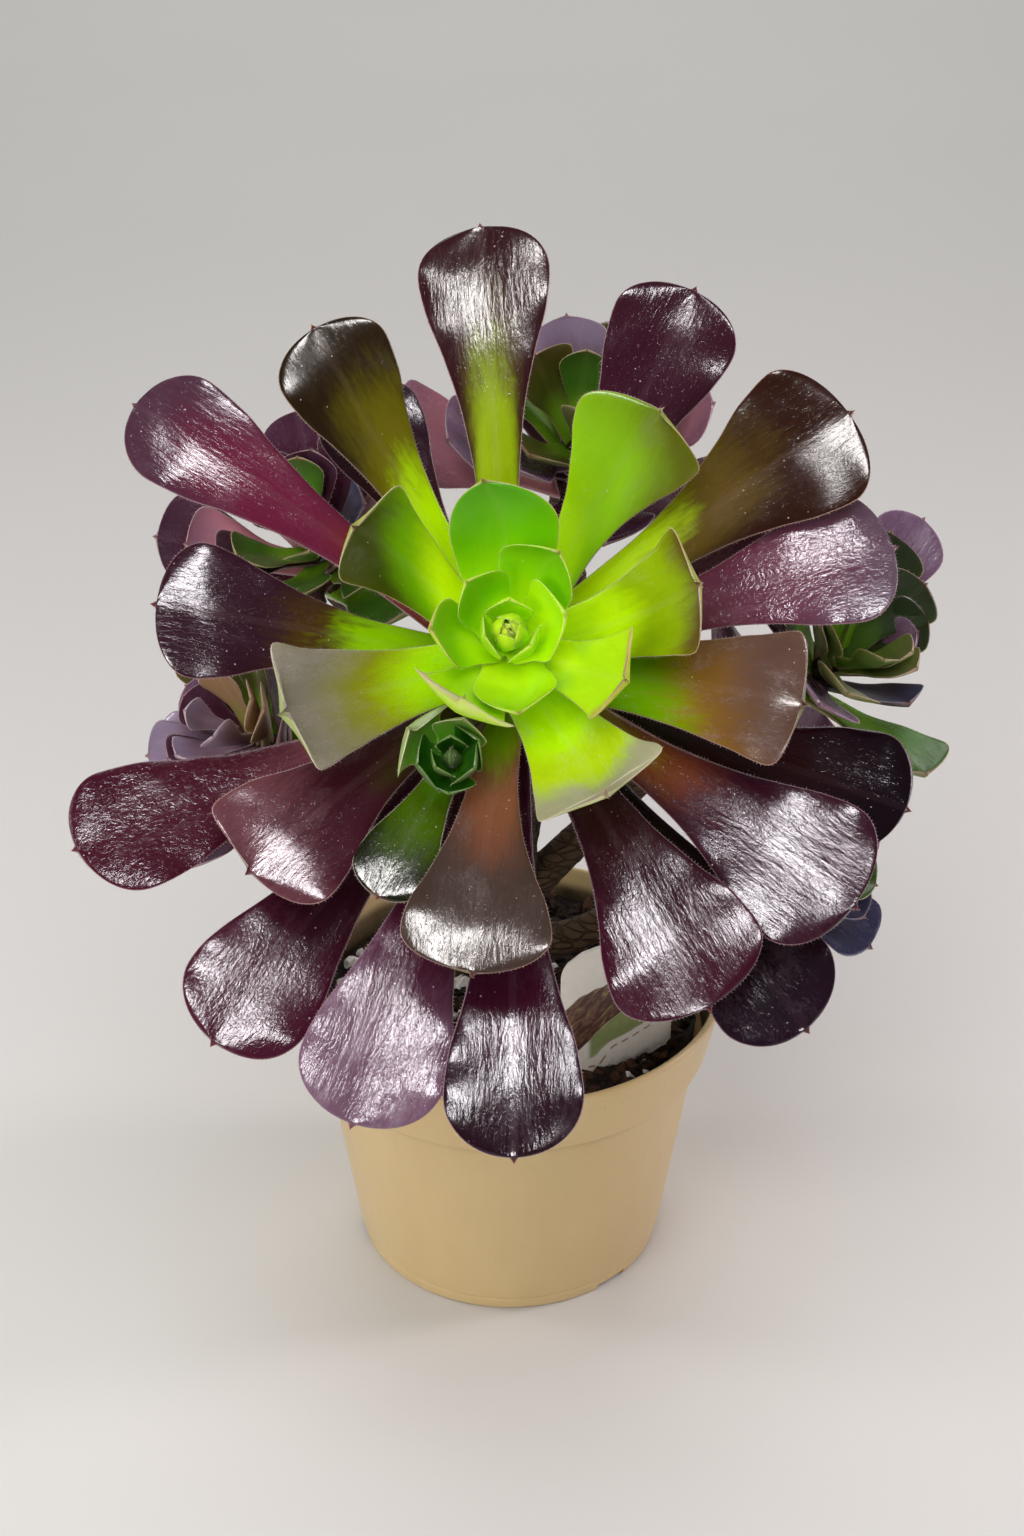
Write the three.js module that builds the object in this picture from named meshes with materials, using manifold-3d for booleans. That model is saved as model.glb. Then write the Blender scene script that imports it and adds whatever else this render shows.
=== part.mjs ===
// Aeonium in a nursery pot. Millimetres, +Z up; the pot's axis is the Z axis and its foot stands on z = 0.
import * as THREE from 'three';
import { mergeVertices } from 'three/addons/utils/BufferGeometryUtils.js';
import Module from 'manifold-3d';

// Pot
const potHeight = 85;
const rimRadius = 60;
const bandHeight = 19;
const bandFootRadius = 56.2;
const bodyTopRadius = 53.4;
const bodyFootRadius = 43.3;
const wall = 1.7;
const footHeight = 3;
const padRadius = 9;
const drainRadius = 3.5;
const drainCircle = 28;
const footNotchWidth = 10.5;
const footNotchAngles = [-48, 72, 192];

// Soil, stem and plant label
const soilLevel = 75;
const soilMound = 3;
const fit = 0.3;
const stemRadius = 8;
const stemAt = [0, 8];
const stemDepth = 40;
const labelWidth = 36;
const labelTop = 116;
const labelThickness = 1.2;
const labelAt = [28.8, -29.5];
const labelAngle = 32;

// Half-width along a leaf, as a share of its widest; the tip closes to a point.
const outlines = {
  spoon: [
    [0, 0.34], [0.2, 0.3], [0.38, 0.32], [0.55, 0.45], [0.7, 0.7], [0.82, 0.93], [0.9, 1], [0.955, 0.86], [0.985, 0.52],
  ],
  fan: [[0, 0.5], [0.2, 0.46], [0.4, 0.52], [0.6, 0.66], [0.78, 0.86], [0.9, 1], [0.965, 0.8]],
  cup: [[0, 0.6], [0.3, 0.68], [0.6, 0.92], [0.8, 0.98], [0.93, 0.6]],
  slim: [[0, 0.34], [0.35, 0.4], [0.65, 0.8], [0.88, 1]],
};

// A head faces along its own +Z. Turn is the compass turn from the front, tilt the lean from upright.
const heads = {
  main: { at: [0, -70, 227], turn: 0, tilt: 50, core: 8 },
  back: { at: [18, 26, 240], turn: 8, tilt: 34, core: 4.5 },
  right: { at: [86, -24, 201], turn: 38, tilt: 42, core: 4.5 },
  upperLeft: { at: [-53, 8, 217], turn: -24, tilt: 38, core: 4.5 },
  lowerLeft: { at: [-72, -14, 172], turn: -50, tilt: 50, core: 4.5 },
  lowerRight: { at: [80, -4, 134], turn: 62, tilt: 58, core: 4.5 },
};

// Leaves of the main head: clock angle, reach and lift of the tip, depth of the base down the core,
// width, bow of the blade (up is positive), cup of its edges, the drop of its last fifth, and outline.
const mainWhorls = [
  {
    name: 'main_heart', top: -2, bottom: 16, colour: '#a9d61c',
    leaves: [
      [30, 2.4, 8, 3, 4, -0.5, 0.3, 0, 'cup'], [215, 2.2, 7.5, 3, 4, -0.5, 0.3, 0, 'cup'],
      [90, 6.4, 9, 5, 11, -2.2, 0.4, 0, 'cup'], [200, 5.8, 9, 5, 11, -2.2, 0.4, 0, 'cup'],
      [318, 6.2, 9, 6, 11, -2.2, 0.4, 0, 'cup'], [0, 12.7, 12, 8, 15, -2.6, 0.35, 0, 'cup'],
      [136, 13.7, 13, 8, 15, -2.6, 0.35, 0, 'cup'], [184, 17.8, 13, 9, 16, -3, 0.35, 0, 'cup'],
      [276, 20.6, 11, 10, 19, -2, 0.3, 0.5, 'cup'], [54, 19.8, 14, 11, 20, -3, 0.35, 0, 'cup'],
      [238, 25.7, 12, 12, 26, -2, 0.25, 2.5, 'fan'], [334, 30.4, 12, 13, 23, -2, 0.25, 2, 'fan'],
      [101, 33.2, 16, 13, 25, -2.5, 0.3, 0, 'cup'],
    ],
  },
  {
    name: 'main_inner', top: 16.3, bottom: 25.5, colour: '#7fae1e',
    leaves: [
      [147.5, 42.4, 13, 22.5, 25, -3, 0.22, 1, 'fan'], [299.5, 45.9, 10, 21.5, 32, -2.5, 0.18, 3, 'fan'],
      [13.6, 44.9, 10, 22, 29, -2.5, 0.18, 2, 'fan'], [201, 56, 8, 22.5, 31, -1.5, 0.18, 3, 'fan'],
      [55.5, 62.6, 10, 22.5, 34, -2, 0.2, 1.5, 'spoon'],
    ],
  },
  {
    name: 'main_middle', top: 25.8, bottom: 36, colour: '#6d4a22',
    leaves: [
      [346, 70, 4, 30, 32, 2, 0.16, 2.5, 'fan'], [264, 79, 4, 30, 34, 3, 0.18, 2, 'spoon'],
      [122, 87, 4, 30.5, 28, 3, 0.18, 1, 'spoon'], [94, 100, 0, 31.5, 31, 4, 0.18, 1.5, 'spoon'],
      [34, 97, 0, 31, 36, 4, 0.18, 2, 'spoon'], [243, 67, -8, 32, 19, 3, 0.2, 1, 'spoon'],
    ],
  },
  {
    name: 'main_outer', top: 36.3, bottom: 47.5, colour: '#4b2136',
    leaves: [
      [174, 83.5, -4, 40, 33, 5, 0.16, 2, 'spoon'], [222, 81, -6, 40, 34, 5, 0.16, 2, 'spoon'],
      [298, 97, -6, 40.5, 37, 6, 0.16, 2, 'spoon'], [147, 106, -6, 42, 27, 6, 0.16, 2, 'spoon'],
      [322, 101, -8, 42.5, 37, 6, 0.16, 2, 'spoon'], [63, 98, -8, 41, 31, 5, 0.16, 2, 'spoon'],
      [14.5, 94, -8, 42, 32, 6, 0.16, 2, 'spoon'], [338, 101, -17, 43.5, 32, 4, 0.16, 2, 'spoon'],
    ],
  },
  {
    name: 'main_lower', top: 47.8, bottom: 61, colour: '#3b1a2e',
    leaves: [
      [205, 112, -15, 51.5, 32, 7, 0.14, 2, 'spoon'], [233.5, 115, -17, 53, 32, 8, 0.14, 3, 'spoon'],
      [252, 117, -15, 52, 34, 8, 0.14, 3, 'spoon'], [270.5, 119, -14, 51.5, 32, 8, 0.14, 3, 'spoon'],
      [308, 113, -22, 54, 31, 7, 0.14, 3, 'spoon'], [23, 84, -20, 52.5, 27, 5, 0.14, 1, 'spoon'],
      [120, 78, -24, 53, 26, 5, 0.14, 1, 'spoon'],
    ],
  },
];

// Side heads: leaves wind outward by the golden angle, green in the heart and darker in the whorl.
const sideHeads = [
  { head: 'back', start: 250, reach: [7, 54], lift: [16, 6], depth: 30, heart: '#7fa51f', whorl: '#6b3550' },
  { head: 'right', start: 100, reach: [6, 46], lift: [15, 4], depth: 28, heart: '#6f9a24', whorl: '#4c2d42' },
  { head: 'upperLeft', start: 40, reach: [6, 46], lift: [15, 4], depth: 28, heart: '#6a9426', whorl: '#7a4a63' },
  { head: 'lowerLeft', start: 200, reach: [5, 40], lift: [13, 2], depth: 26, heart: '#7d8a3a', whorl: '#7c5666' },
  { head: 'lowerRight', start: 320, reach: [5, 40], lift: [13, 2], depth: 26, heart: '#6f9a24', whorl: '#3f3a55' },
];
const sideLeaves = 12;
const sideHeartLeaves = 5;
const goldenAngle = 137.5;

// A small sprout on the main core, between the lower leaves.
const sprout = { clock: 245, out: 31, lift: -3, stub: 2.2, leaves: 6, reach: [2.5, 9], rise: [5, 2] };

const wasm = await Module();
wasm.setup();
const rad = THREE.MathUtils.degToRad;
const mix = THREE.MathUtils.lerp;

function solid(geometry) {
  const bare = geometry.clone();
  bare.deleteAttribute('normal');
  bare.deleteAttribute('uv');
  const merged = mergeVertices(bare, 1e-4);
  const at = merged.attributes.position.array;
  const faces = [];
  for (let i = 0; i < merged.index.count; i += 3) {
    const [a, b, c] = merged.index.array.slice(i, i + 3);
    if (a !== b && b !== c && c !== a) faces.push(a, b, c);
  }
  return new wasm.Manifold(new wasm.Mesh({ numProp: 3, vertProperties: at, triVerts: new Uint32Array(faces) }));
}

// Joins pieces into one body: hollows that the joining seals are filled, and loose scrap is dropped.
function joined(solids) {
  const bodies = solids.reduce((sum, piece) => sum.add(piece)).decompose();
  return bodies.reduce((best, body) => (body.volume() > best.volume() ? body : best));
}

function node(name, body, colour, roughness = 0.4) {
  const { vertProperties, triVerts } = body.getMesh();
  const geometry = new THREE.BufferGeometry();
  geometry.setAttribute('position', new THREE.BufferAttribute(vertProperties, 3));
  geometry.setIndex(new THREE.BufferAttribute(triVerts, 1));
  geometry.computeVertexNormals();
  const mesh = new THREE.Mesh(geometry, new THREE.MeshStandardMaterial({ color: colour, roughness, metalness: 0 }));
  mesh.name = name;
  return mesh;
}

// Joins rings of points into a closed skin. The second half of each ring is the underside, whose
// quads are split to match the upper side. A tip closes the far end to a point.
function loft(rings, tip) {
  const size = rings[0].length;
  const points = rings.flat();
  const faces = [];
  for (let r = 0; r + 1 < rings.length; r++) {
    for (let j = 0; j < size; j++) {
      const a = r * size + j;
      const b = r * size + ((j + 1) % size);
      if (j < size / 2) faces.push(a, a + size, b + size, a, b + size, b);
      else faces.push(a, a + size, b, b, a + size, b + size);
    }
  }
  for (let j = 1; j + 1 < size; j++) faces.push(0, j, j + 1);
  const last = (rings.length - 1) * size;
  if (tip) points.push(tip);
  for (let j = 0; j < size; j++) {
    if (tip) faces.push(last + j, points.length - 1, last + ((j + 1) % size));
    else if (j > 0 && j + 1 < size) faces.push(last, last + j + 1, last + j);
  }
  const geometry = new THREE.BufferGeometry().setFromPoints(points);
  geometry.setIndex(faces);
  return solid(geometry);
}

// A round limb through points, its radius changing evenly from first to last.
function limb(points, from, to, steps, sides = 10) {
  const curve = new THREE.CatmullRomCurve3(points.map((p) => new THREE.Vector3(...p)));
  const rings = [];
  for (let i = 0; i <= steps; i++) {
    const along = curve.getTangent(i / steps);
    const side = new THREE.Vector3().crossVectors(new THREE.Vector3(0, 1, 0), along).normalize();
    const up = new THREE.Vector3().crossVectors(along, side);
    const radius = mix(from, to, i / steps);
    rings.push(Array.from({ length: sides }, (_, j) => {
      const turn = (-2 * Math.PI * j) / sides;
      return curve.getPoint(i / steps)
        .addScaledVector(side, radius * Math.cos(turn))
        .addScaledVector(up, radius * Math.sin(turn));
    }));
  }
  return loft(rings);
}

// One leaf in its head's frame: a fleshy blade along a bent line from inside the core to the tip.
function leaf([clock, reach, lift, depth, width, bow, cup, drop, shape], root = new THREE.Vector3()) {
  const from = new THREE.Vector2(1.5, -depth);
  const to = new THREE.Vector2(reach, lift);
  const chord = to.clone().sub(from);
  const normal = new THREE.Vector2(-chord.y, chord.x).normalize();
  const middle = from.clone().add(to).multiplyScalar(0.5).addScaledVector(normal, 2 * bow);
  const line = new THREE.QuadraticBezierCurve(from, middle, to);
  const thick = 1.1 + 0.035 * chord.length();
  const out = new THREE.Vector3(Math.cos(rad(clock)), Math.sin(rad(clock)), 0);
  const side = new THREE.Vector3(-out.y, out.x, 0);
  const place = (s, q, raise) => {
    const p = line.getPoint(s);
    const t = line.getTangent(s);
    const fall = drop * Math.max(0, (s - 0.8) / 0.2) ** 2;
    const across = out.clone().multiplyScalar(p.x - t.y * raise);
    return across.addScaledVector(side, q).setZ(p.y + t.x * raise - fall).add(root);
  };
  const rings = outlines[shape].map(([s, share]) => {
    const half = (share * width) / 2;
    const body = thick * mix(1.15, 0.55, s);
    const top = [-1, -0.5, 0, 0.5, 1];
    const raised = (q, skin) => cup * half * Math.abs(q) ** 1.5 + skin * body * Math.sqrt(1 - q * q);
    return [
      ...top.map((q) => place(s, q * half, raised(q, 0.45))),
      ...[0.5, 0, -0.5].map((q) => place(s, q * half, raised(q, -0.55))),
    ];
  });
  return loft(rings, place(1, 0, 0));
}

function core(radius, top, bottom) {
  const geometry = new THREE.CylinderGeometry(radius, radius, bottom - top, 12);
  return solid(geometry.rotateX(Math.PI / 2).translate(0, 0, -(top + bottom) / 2));
}

function sproutBlades() {
  const out = new THREE.Vector3(Math.cos(rad(sprout.clock)), Math.sin(rad(sprout.clock)), 0);
  const at = out.clone().multiplyScalar(sprout.out).setZ(sprout.lift);
  const onCore = out.clone().multiplyScalar(5).setZ(-21);
  const bend = out.clone().multiplyScalar(20).setZ(-14);
  const under = at.clone().add(new THREE.Vector3(0, 0, -4));
  const blades = Array.from({ length: sprout.leaves }, (_, i) => {
    const k = i / (sprout.leaves - 1);
    const reach = mix(...sprout.reach, k);
    const row = [60 + goldenAngle * i, reach, mix(...sprout.rise, k), 4, 3 + 0.6 * reach, -0.6, 0.3, 0, 'slim'];
    return leaf(row, at);
  });
  const stub = limb([onCore, bend, under, at].map((p) => p.toArray()), 3, sprout.stub, 4, 6);
  return [stub, ...blades];
}

// A whorl keeps to its own length of the core, so the whorls stack with a small gap between them.
function whorl(radius, top, bottom, blades) {
  const body = joined([core(radius, top, bottom), ...blades]).subtract(core(radius + fit, bottom, bottom + 30));
  return top > 0 ? body.subtract(core(radius + fit, top - 30, top)) : body;
}

function headGroup({ at, turn, tilt }) {
  const facing = facingOf({ turn, tilt });
  const right = new THREE.Vector3(Math.cos(rad(turn)), Math.sin(rad(turn)), 0);
  const basis = new THREE.Matrix4().makeBasis(right, new THREE.Vector3().crossVectors(facing, right), facing);
  const group = new THREE.Group();
  group.position.set(...at);
  group.quaternion.setFromRotationMatrix(basis);
  return group;
}

function facingOf({ turn, tilt }) {
  const lean = Math.sin(rad(tilt));
  return new THREE.Vector3(lean * Math.sin(rad(turn)), -lean * Math.cos(rad(turn)), Math.cos(rad(tilt)));
}

// Point down a head's axis, below its centre.
function below(head, depth) {
  return new THREE.Vector3(...head.at).addScaledVector(facingOf(head), -depth).toArray();
}

function lathe(profile, segments) {
  const points = profile.map(([r, z]) => new THREE.Vector2(r, z));
  return solid(new THREE.LatheGeometry(points, segments).rotateX(Math.PI / 2));
}

function pot() {
  const floor = footHeight + wall;
  const top = potHeight - bandHeight;
  const skin = lathe([
    [0, 0], [padRadius, 0], [padRadius + 0.6, footHeight], [39.2, footHeight], [39.8, 0],
    [bodyFootRadius - 0.7, 0], [bodyFootRadius, 0.8], [bodyFootRadius + 0.5, 3.8], [bodyFootRadius + 0.2, 4.3],
    [bodyFootRadius + 0.9, 4.9], [bodyTopRadius, top], [bandFootRadius - 0.5, top + 0.1], [bandFootRadius, top + 0.8],
    [rimRadius - 0.5, potHeight - 2.6], [rimRadius, potHeight - 1.6], [rimRadius - 0.2, potHeight - 0.5],
    [rimRadius - 0.9, potHeight], [rimRadius - 1.8, potHeight - 0.2], [rimRadius - 2.3, potHeight - 1.2],
    [bandFootRadius - wall, top + 0.9], [bodyTopRadius - wall - 0.1, top - 1.6], [bodyFootRadius - 1, floor], [0, floor],
  ], 42);
  const cuts = footNotchAngles.map((angle) => solid(
    new THREE.BoxGeometry(12, footNotchWidth, 4.4).translate(42, 0, 0).rotateZ(rad(angle)),
  ));
  for (let i = 0; i < 6; i++) {
    const drain = new THREE.CylinderGeometry(drainRadius, drainRadius, 8, 16).rotateX(Math.PI / 2);
    cuts.push(solid(drain.translate(drainCircle, 0, floor).rotateZ(rad(60 * i + 12))));
  }
  return cuts.reduce((body, cut) => body.subtract(cut), skin);
}

function labelBlank(gap) {
  const half = labelWidth / 2 + gap;
  const shape = new THREE.Shape();
  shape.moveTo(-9 - gap, 54 - gap);
  shape.lineTo(9 + gap, 54 - gap);
  shape.lineTo(half, 70 - gap);
  shape.lineTo(half, labelTop - 6);
  shape.absarc(half - 6, labelTop - 6, 6, 0, Math.PI / 2);
  shape.absarc(6 - half, labelTop - 6, 6, Math.PI / 2, Math.PI);
  shape.lineTo(-half, 70 - gap);
  const depth = labelThickness + 2 * gap;
  const sheet = new THREE.ExtrudeGeometry(shape, { depth, bevelEnabled: false, curveSegments: 5 });
  sheet.translate(0, 0, -depth / 2).rotateX(Math.PI / 2).rotateZ(rad(labelAngle));
  return solid(sheet.translate(...labelAt, 0));
}

function stemHole() {
  const depth = stemDepth + 12;
  const hole = new THREE.CylinderGeometry(stemRadius + 0.6 + fit, stemRadius + 0.6 + fit, depth, 20);
  return solid(hole.rotateX(Math.PI / 2).translate(...stemAt, soilLevel + 12 - depth / 2));
}

// Lumps of the soil's surface, higher toward the stem.
function soilHeight(x, y) {
  const rough = Math.sin(0.61 * x + 1.3) * Math.cos(0.53 * y - 0.4) + 0.6 * Math.sin(0.37 * (x - y) + 2.1);
  return soilLevel + soilMound * Math.exp(-(x * x + y * y) / 900) + 0.75 * rough;
}

function soil() {
  const floor = footHeight + wall + fit;
  const slope = (bodyTopRadius - wall - 0.1 - bodyFootRadius + 1) / (potHeight - bandHeight - 1.6 - footHeight - wall);
  const wallAt = (z) => bodyFootRadius - 1 + slope * (z - footHeight - wall) - fit - 0.1;
  const bandTop = potHeight - bandHeight - 1.6;
  const rings = [50, 44, 38, 32, 26, 20, 14.5, 9, 4.5, 0];
  const profile = [[0, floor], [wallAt(floor), floor], [wallAt(bandTop), bandTop], [wallAt(bandTop) + 1.6, soilLevel - 1]];
  const points = [...profile, ...rings.map((r) => [r, soilLevel])].map(([r, z]) => new THREE.Vector2(r, z));
  const geometry = new THREE.LatheGeometry(points, 42).rotateX(Math.PI / 2);
  const at = geometry.attributes.position;
  for (let i = 0; i < at.count; i++) {
    if (at.getZ(i) > soilLevel - 0.5) at.setZ(i, soilHeight(at.getX(i), at.getY(i)));
  }
  return solid(geometry).subtract(stemHole()).subtract(labelBlank(fit));
}

// The stem rises out of the soil, leans to the main head and sends a branch to each side head.
function stem() {
  const [x, y] = stemAt;
  const crown = below(heads.main, 61 + fit);
  const trunk = limb([
    [x, y, soilLevel - stemDepth + 0.6], [x, y, 62], [x, y, 92], [0, 8, 122], [0, 0, 158], below(heads.main, 74), crown,
  ], stemRadius + 0.6, stemRadius - 1.5, 18, 10);
  const ends = Object.fromEntries(sideHeads.map(({ head, depth }) => [head, [
    below(heads[head], depth + 16), below(heads[head], depth + 5 + fit),
  ]]));
  return joined([
    trunk,
    limb([[0, 8, 112], [7, 22, 140], [17, 33, 178], ...ends.back], 5.2, 4, 9, 8),
    limb([[0, 8, 103], [20, 14, 122], [43, 9, 150], ...ends.right], 5, 4, 9, 8),
    limb([[0, 7, 118], [-13, 13, 142], [-24, 18, 166], ...ends.upperLeft], 5, 4, 9, 8),
    limb([[0, 8, 96], [-20, 6, 106], [-38, 1, 126], ...ends.lowerLeft], 4.8, 4, 8, 8),
    limb([[0, 8, 88], [20, 9, 93], [38, 9, 105], ...ends.lowerRight], 4.8, 4, 8, 8),
  ]);
}

// Leaves of a side head, from the innermost outward.
function sideRows({ start, reach, lift, depth }) {
  return Array.from({ length: sideLeaves }, (_, i) => {
    const k = i / (sideLeaves - 1);
    const out = mix(reach[0], reach[1], k ** 0.9);
    return [
      start + goldenAngle * i, out, mix(lift[0], lift[1], k), mix(4, depth, k) + (i < sideHeartLeaves ? 0 : 2.5),
      4 + 0.45 * out, mix(-1.6, 1, k), mix(0.35, 0.2, k), 0, 'slim',
    ];
  });
}

const plant = new THREE.Group();
plant.add(node('pot', pot(), '#c6ab7f', 0.45));
plant.add(node('soil', soil(), '#2b211b', 0.95));
plant.add(node('label', labelBlank(0), '#e6e2d6', 0.4));
plant.add(node('stem', stem(), '#6e5a45', 0.8));

const mainHead = headGroup(heads.main);
for (const { name, top, bottom, colour, leaves } of mainWhorls) {
  const blades = leaves.map((row) => leaf(row));
  if (name === 'main_inner') blades.push(...sproutBlades());
  mainHead.add(node(name, whorl(heads.main.core, top, bottom, blades), colour, 0.3));
}
plant.add(mainHead);

for (const side of sideHeads) {
  const group = headGroup(heads[side.head]);
  const blades = sideRows(side).map((row) => leaf(row));
  const split = mix(4, side.depth, (sideHeartLeaves - 0.5) / (sideLeaves - 1));
  const radius = heads[side.head].core;
  const heart = whorl(radius, -3, split, blades.slice(0, sideHeartLeaves));
  const outer = whorl(radius, split + fit, side.depth + 5, blades.slice(sideHeartLeaves));
  group.add(node(`${side.head}_heart`, heart, side.heart, 0.35));
  group.add(node(`${side.head}_whorl`, outer, side.whorl, 0.35));
  plant.add(group);
}

export default plant;
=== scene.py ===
import math
import random

import bpy
import numpy as np
from mathutils import Matrix, Vector


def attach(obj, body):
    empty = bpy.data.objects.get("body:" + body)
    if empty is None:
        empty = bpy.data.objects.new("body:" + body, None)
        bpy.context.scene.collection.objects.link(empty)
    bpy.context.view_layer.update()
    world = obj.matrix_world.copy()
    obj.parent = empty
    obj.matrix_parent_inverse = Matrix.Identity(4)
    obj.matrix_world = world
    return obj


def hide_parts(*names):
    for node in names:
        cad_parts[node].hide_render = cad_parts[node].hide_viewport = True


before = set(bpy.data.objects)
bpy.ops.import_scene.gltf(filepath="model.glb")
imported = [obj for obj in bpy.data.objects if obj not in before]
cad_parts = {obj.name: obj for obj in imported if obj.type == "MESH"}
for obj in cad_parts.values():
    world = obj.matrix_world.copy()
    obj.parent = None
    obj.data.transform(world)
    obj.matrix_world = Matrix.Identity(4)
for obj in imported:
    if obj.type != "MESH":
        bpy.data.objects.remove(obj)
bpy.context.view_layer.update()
mm = 0.001

# Camera: stands in front and above, looks down at the plant.
cameraView = {
    "place": (0.0006, -0.579, 0.486),
    "lookDown": 30.0,  # degrees below level
    "lens": 58.6,
    "sensor": 36.0,
}


def makeCamera(view):
    data = bpy.data.cameras.new("viewCamera")
    data.sensor_fit = "VERTICAL"
    data.sensor_height = view["sensor"]
    data.lens = view["lens"]
    data.clip_start = 0.01
    camera = bpy.data.objects.new("viewCamera", data)
    camera.location = view["place"]
    camera.rotation_euler = (math.radians(90 - view["lookDown"]), 0, 0)
    bpy.context.scene.collection.objects.link(camera)
    bpy.context.scene.camera = camera


makeCamera(cameraView)
print("camera placed")


# Node maths: a wrapped socket takes part in ordinary sums, and each sum adds its Math node.
class Wire:
    def __init__(self, maker, socket):
        self.maker = maker
        self.socket = socket

    def math(self, operation, first, second):
        return self.maker.node("ShaderNodeMath", {"operation": operation}, {0: first, 1: second})

    def __add__(self, other):
        return self.math("ADD", self, other)

    def __radd__(self, other):
        return self.math("ADD", other, self)

    def __sub__(self, other):
        return self.math("SUBTRACT", self, other)

    def __rsub__(self, other):
        return self.math("SUBTRACT", other, self)

    def __mul__(self, other):
        return self.math("MULTIPLY", self, other)

    def __rmul__(self, other):
        return self.math("MULTIPLY", other, self)

    def __truediv__(self, other):
        return self.math("DIVIDE", self, other)

    def __pow__(self, other):
        return self.math("POWER", self, other)

    def __gt__(self, other):
        return self.math("GREATER_THAN", self, other)

    def __lt__(self, other):
        return self.math("LESS_THAN", self, other)

    def other(self, name):  # another output of the same node
        return Wire(self.maker, self.socket.node.outputs[name])


class NodeMaker:
    def __init__(self, tree):
        self.tree = tree

    def node(self, kind, settings=None, sockets=None, take=0):
        made = self.tree.nodes.new(kind)
        for key, value in (settings or {}).items():
            setattr(made, key, value)
        for key, value in (sockets or {}).items():
            if isinstance(value, Wire):
                self.tree.links.new(value.socket, made.inputs[key])
            else:
                made.inputs[key].default_value = value
        return Wire(self, made.outputs[take]) if made.outputs else made


def colourOf(code):  # "#rrggbb" to linear light
    parts = [int(code[i:i + 2], 16) / 255 for i in (1, 3, 5)]
    return [c / 12.92 if c <= 0.04045 else ((c + 0.055) / 1.055) ** 2.4 for c in parts] + [1.0]


class Finish(NodeMaker):  # one material
    def __init__(self, name):
        self.material = bpy.data.materials.new(name)
        self.material.use_nodes = True
        super().__init__(self.material.node_tree)
        self.tree.nodes.clear()

    def attribute(self, name, take="Vector"):
        return self.node("ShaderNodeAttribute", {"attribute_name": name}, {}, take)

    def place(self):  # where a point is on its piece, in metres
        return self.node("ShaderNodeTexCoord", {}, {}, "Object")

    def parts(self, vector):
        return self.node("ShaderNodeSeparateXYZ", {}, {0: vector})

    def join(self, x, y, z):
        return self.node("ShaderNodeCombineXYZ", {}, {0: x, 1: y, 2: z})

    def noise(self, vector, scale=1.0, detail=3.0, rough=0.5, twist=0.0):
        sockets = {"Vector": vector, "Scale": scale, "Detail": detail, "Roughness": rough, "Distortion": twist}
        return self.node("ShaderNodeTexNoise", {}, sockets)

    def ease(self, value, low, high):
        sockets = {"Value": value, "From Min": low, "From Max": high}
        return self.node("ShaderNodeMapRange", {"interpolation_type": "SMOOTHSTEP"}, sockets)

    def blend(self, amount, first, second, way="MIX"):  # from first to second, each a wire or a colour code
        first, second = [colourOf(c) if isinstance(c, str) else c for c in (first, second)]
        settings = {"data_type": "RGBA", "blend_type": way}
        return self.node("ShaderNodeMix", settings, {"Factor": amount, 6: first, 7: second}, 2)

    def bump(self, height, depth):
        return self.node("ShaderNodeBump", {}, {"Height": height, "Distance": depth, "Strength": 1.0})

    def close(self, sockets):
        surface = self.node("ShaderNodeBsdfPrincipled", {}, sockets)
        self.node("ShaderNodeOutputMaterial", {}, {"Surface": surface})
        return self.material


def meshPiece(name, points, faces, materials, attributes=None, sharp=None):  # sharp: angle that stays an edge
    data = bpy.data.meshes.new(name)
    data.from_pydata(points, [], faces)
    for material in materials:
        data.materials.append(material)
    data.polygons.foreach_set("use_smooth", [True] * len(data.polygons))
    for key, (kind, values) in (attributes or {}).items():
        layer = data.attributes.new(key, kind, "POINT")
        layer.data.foreach_set("color" if kind == "FLOAT_COLOR" else "vector", values.astype(np.float32).ravel())
    data.update()
    if sharp:
        data.set_sharp_from_angle(angle=math.radians(sharp))
    piece = bpy.data.objects.new(name, data)
    bpy.context.scene.collection.objects.link(piece)
    return piece


def settle(piece, slot, *nodes):  # what the frame needs to know of a piece
    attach(piece, "root")
    if nodes:
        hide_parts(*nodes)


def baked(piece):  # modifiers become a plain mesh
    bpy.context.view_layer.update()
    seen = piece.evaluated_get(bpy.context.evaluated_depsgraph_get())
    data = bpy.data.meshes.new_from_object(seen)
    data.name = piece.name
    piece.modifiers.clear()
    piece.data = data
    return piece


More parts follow.
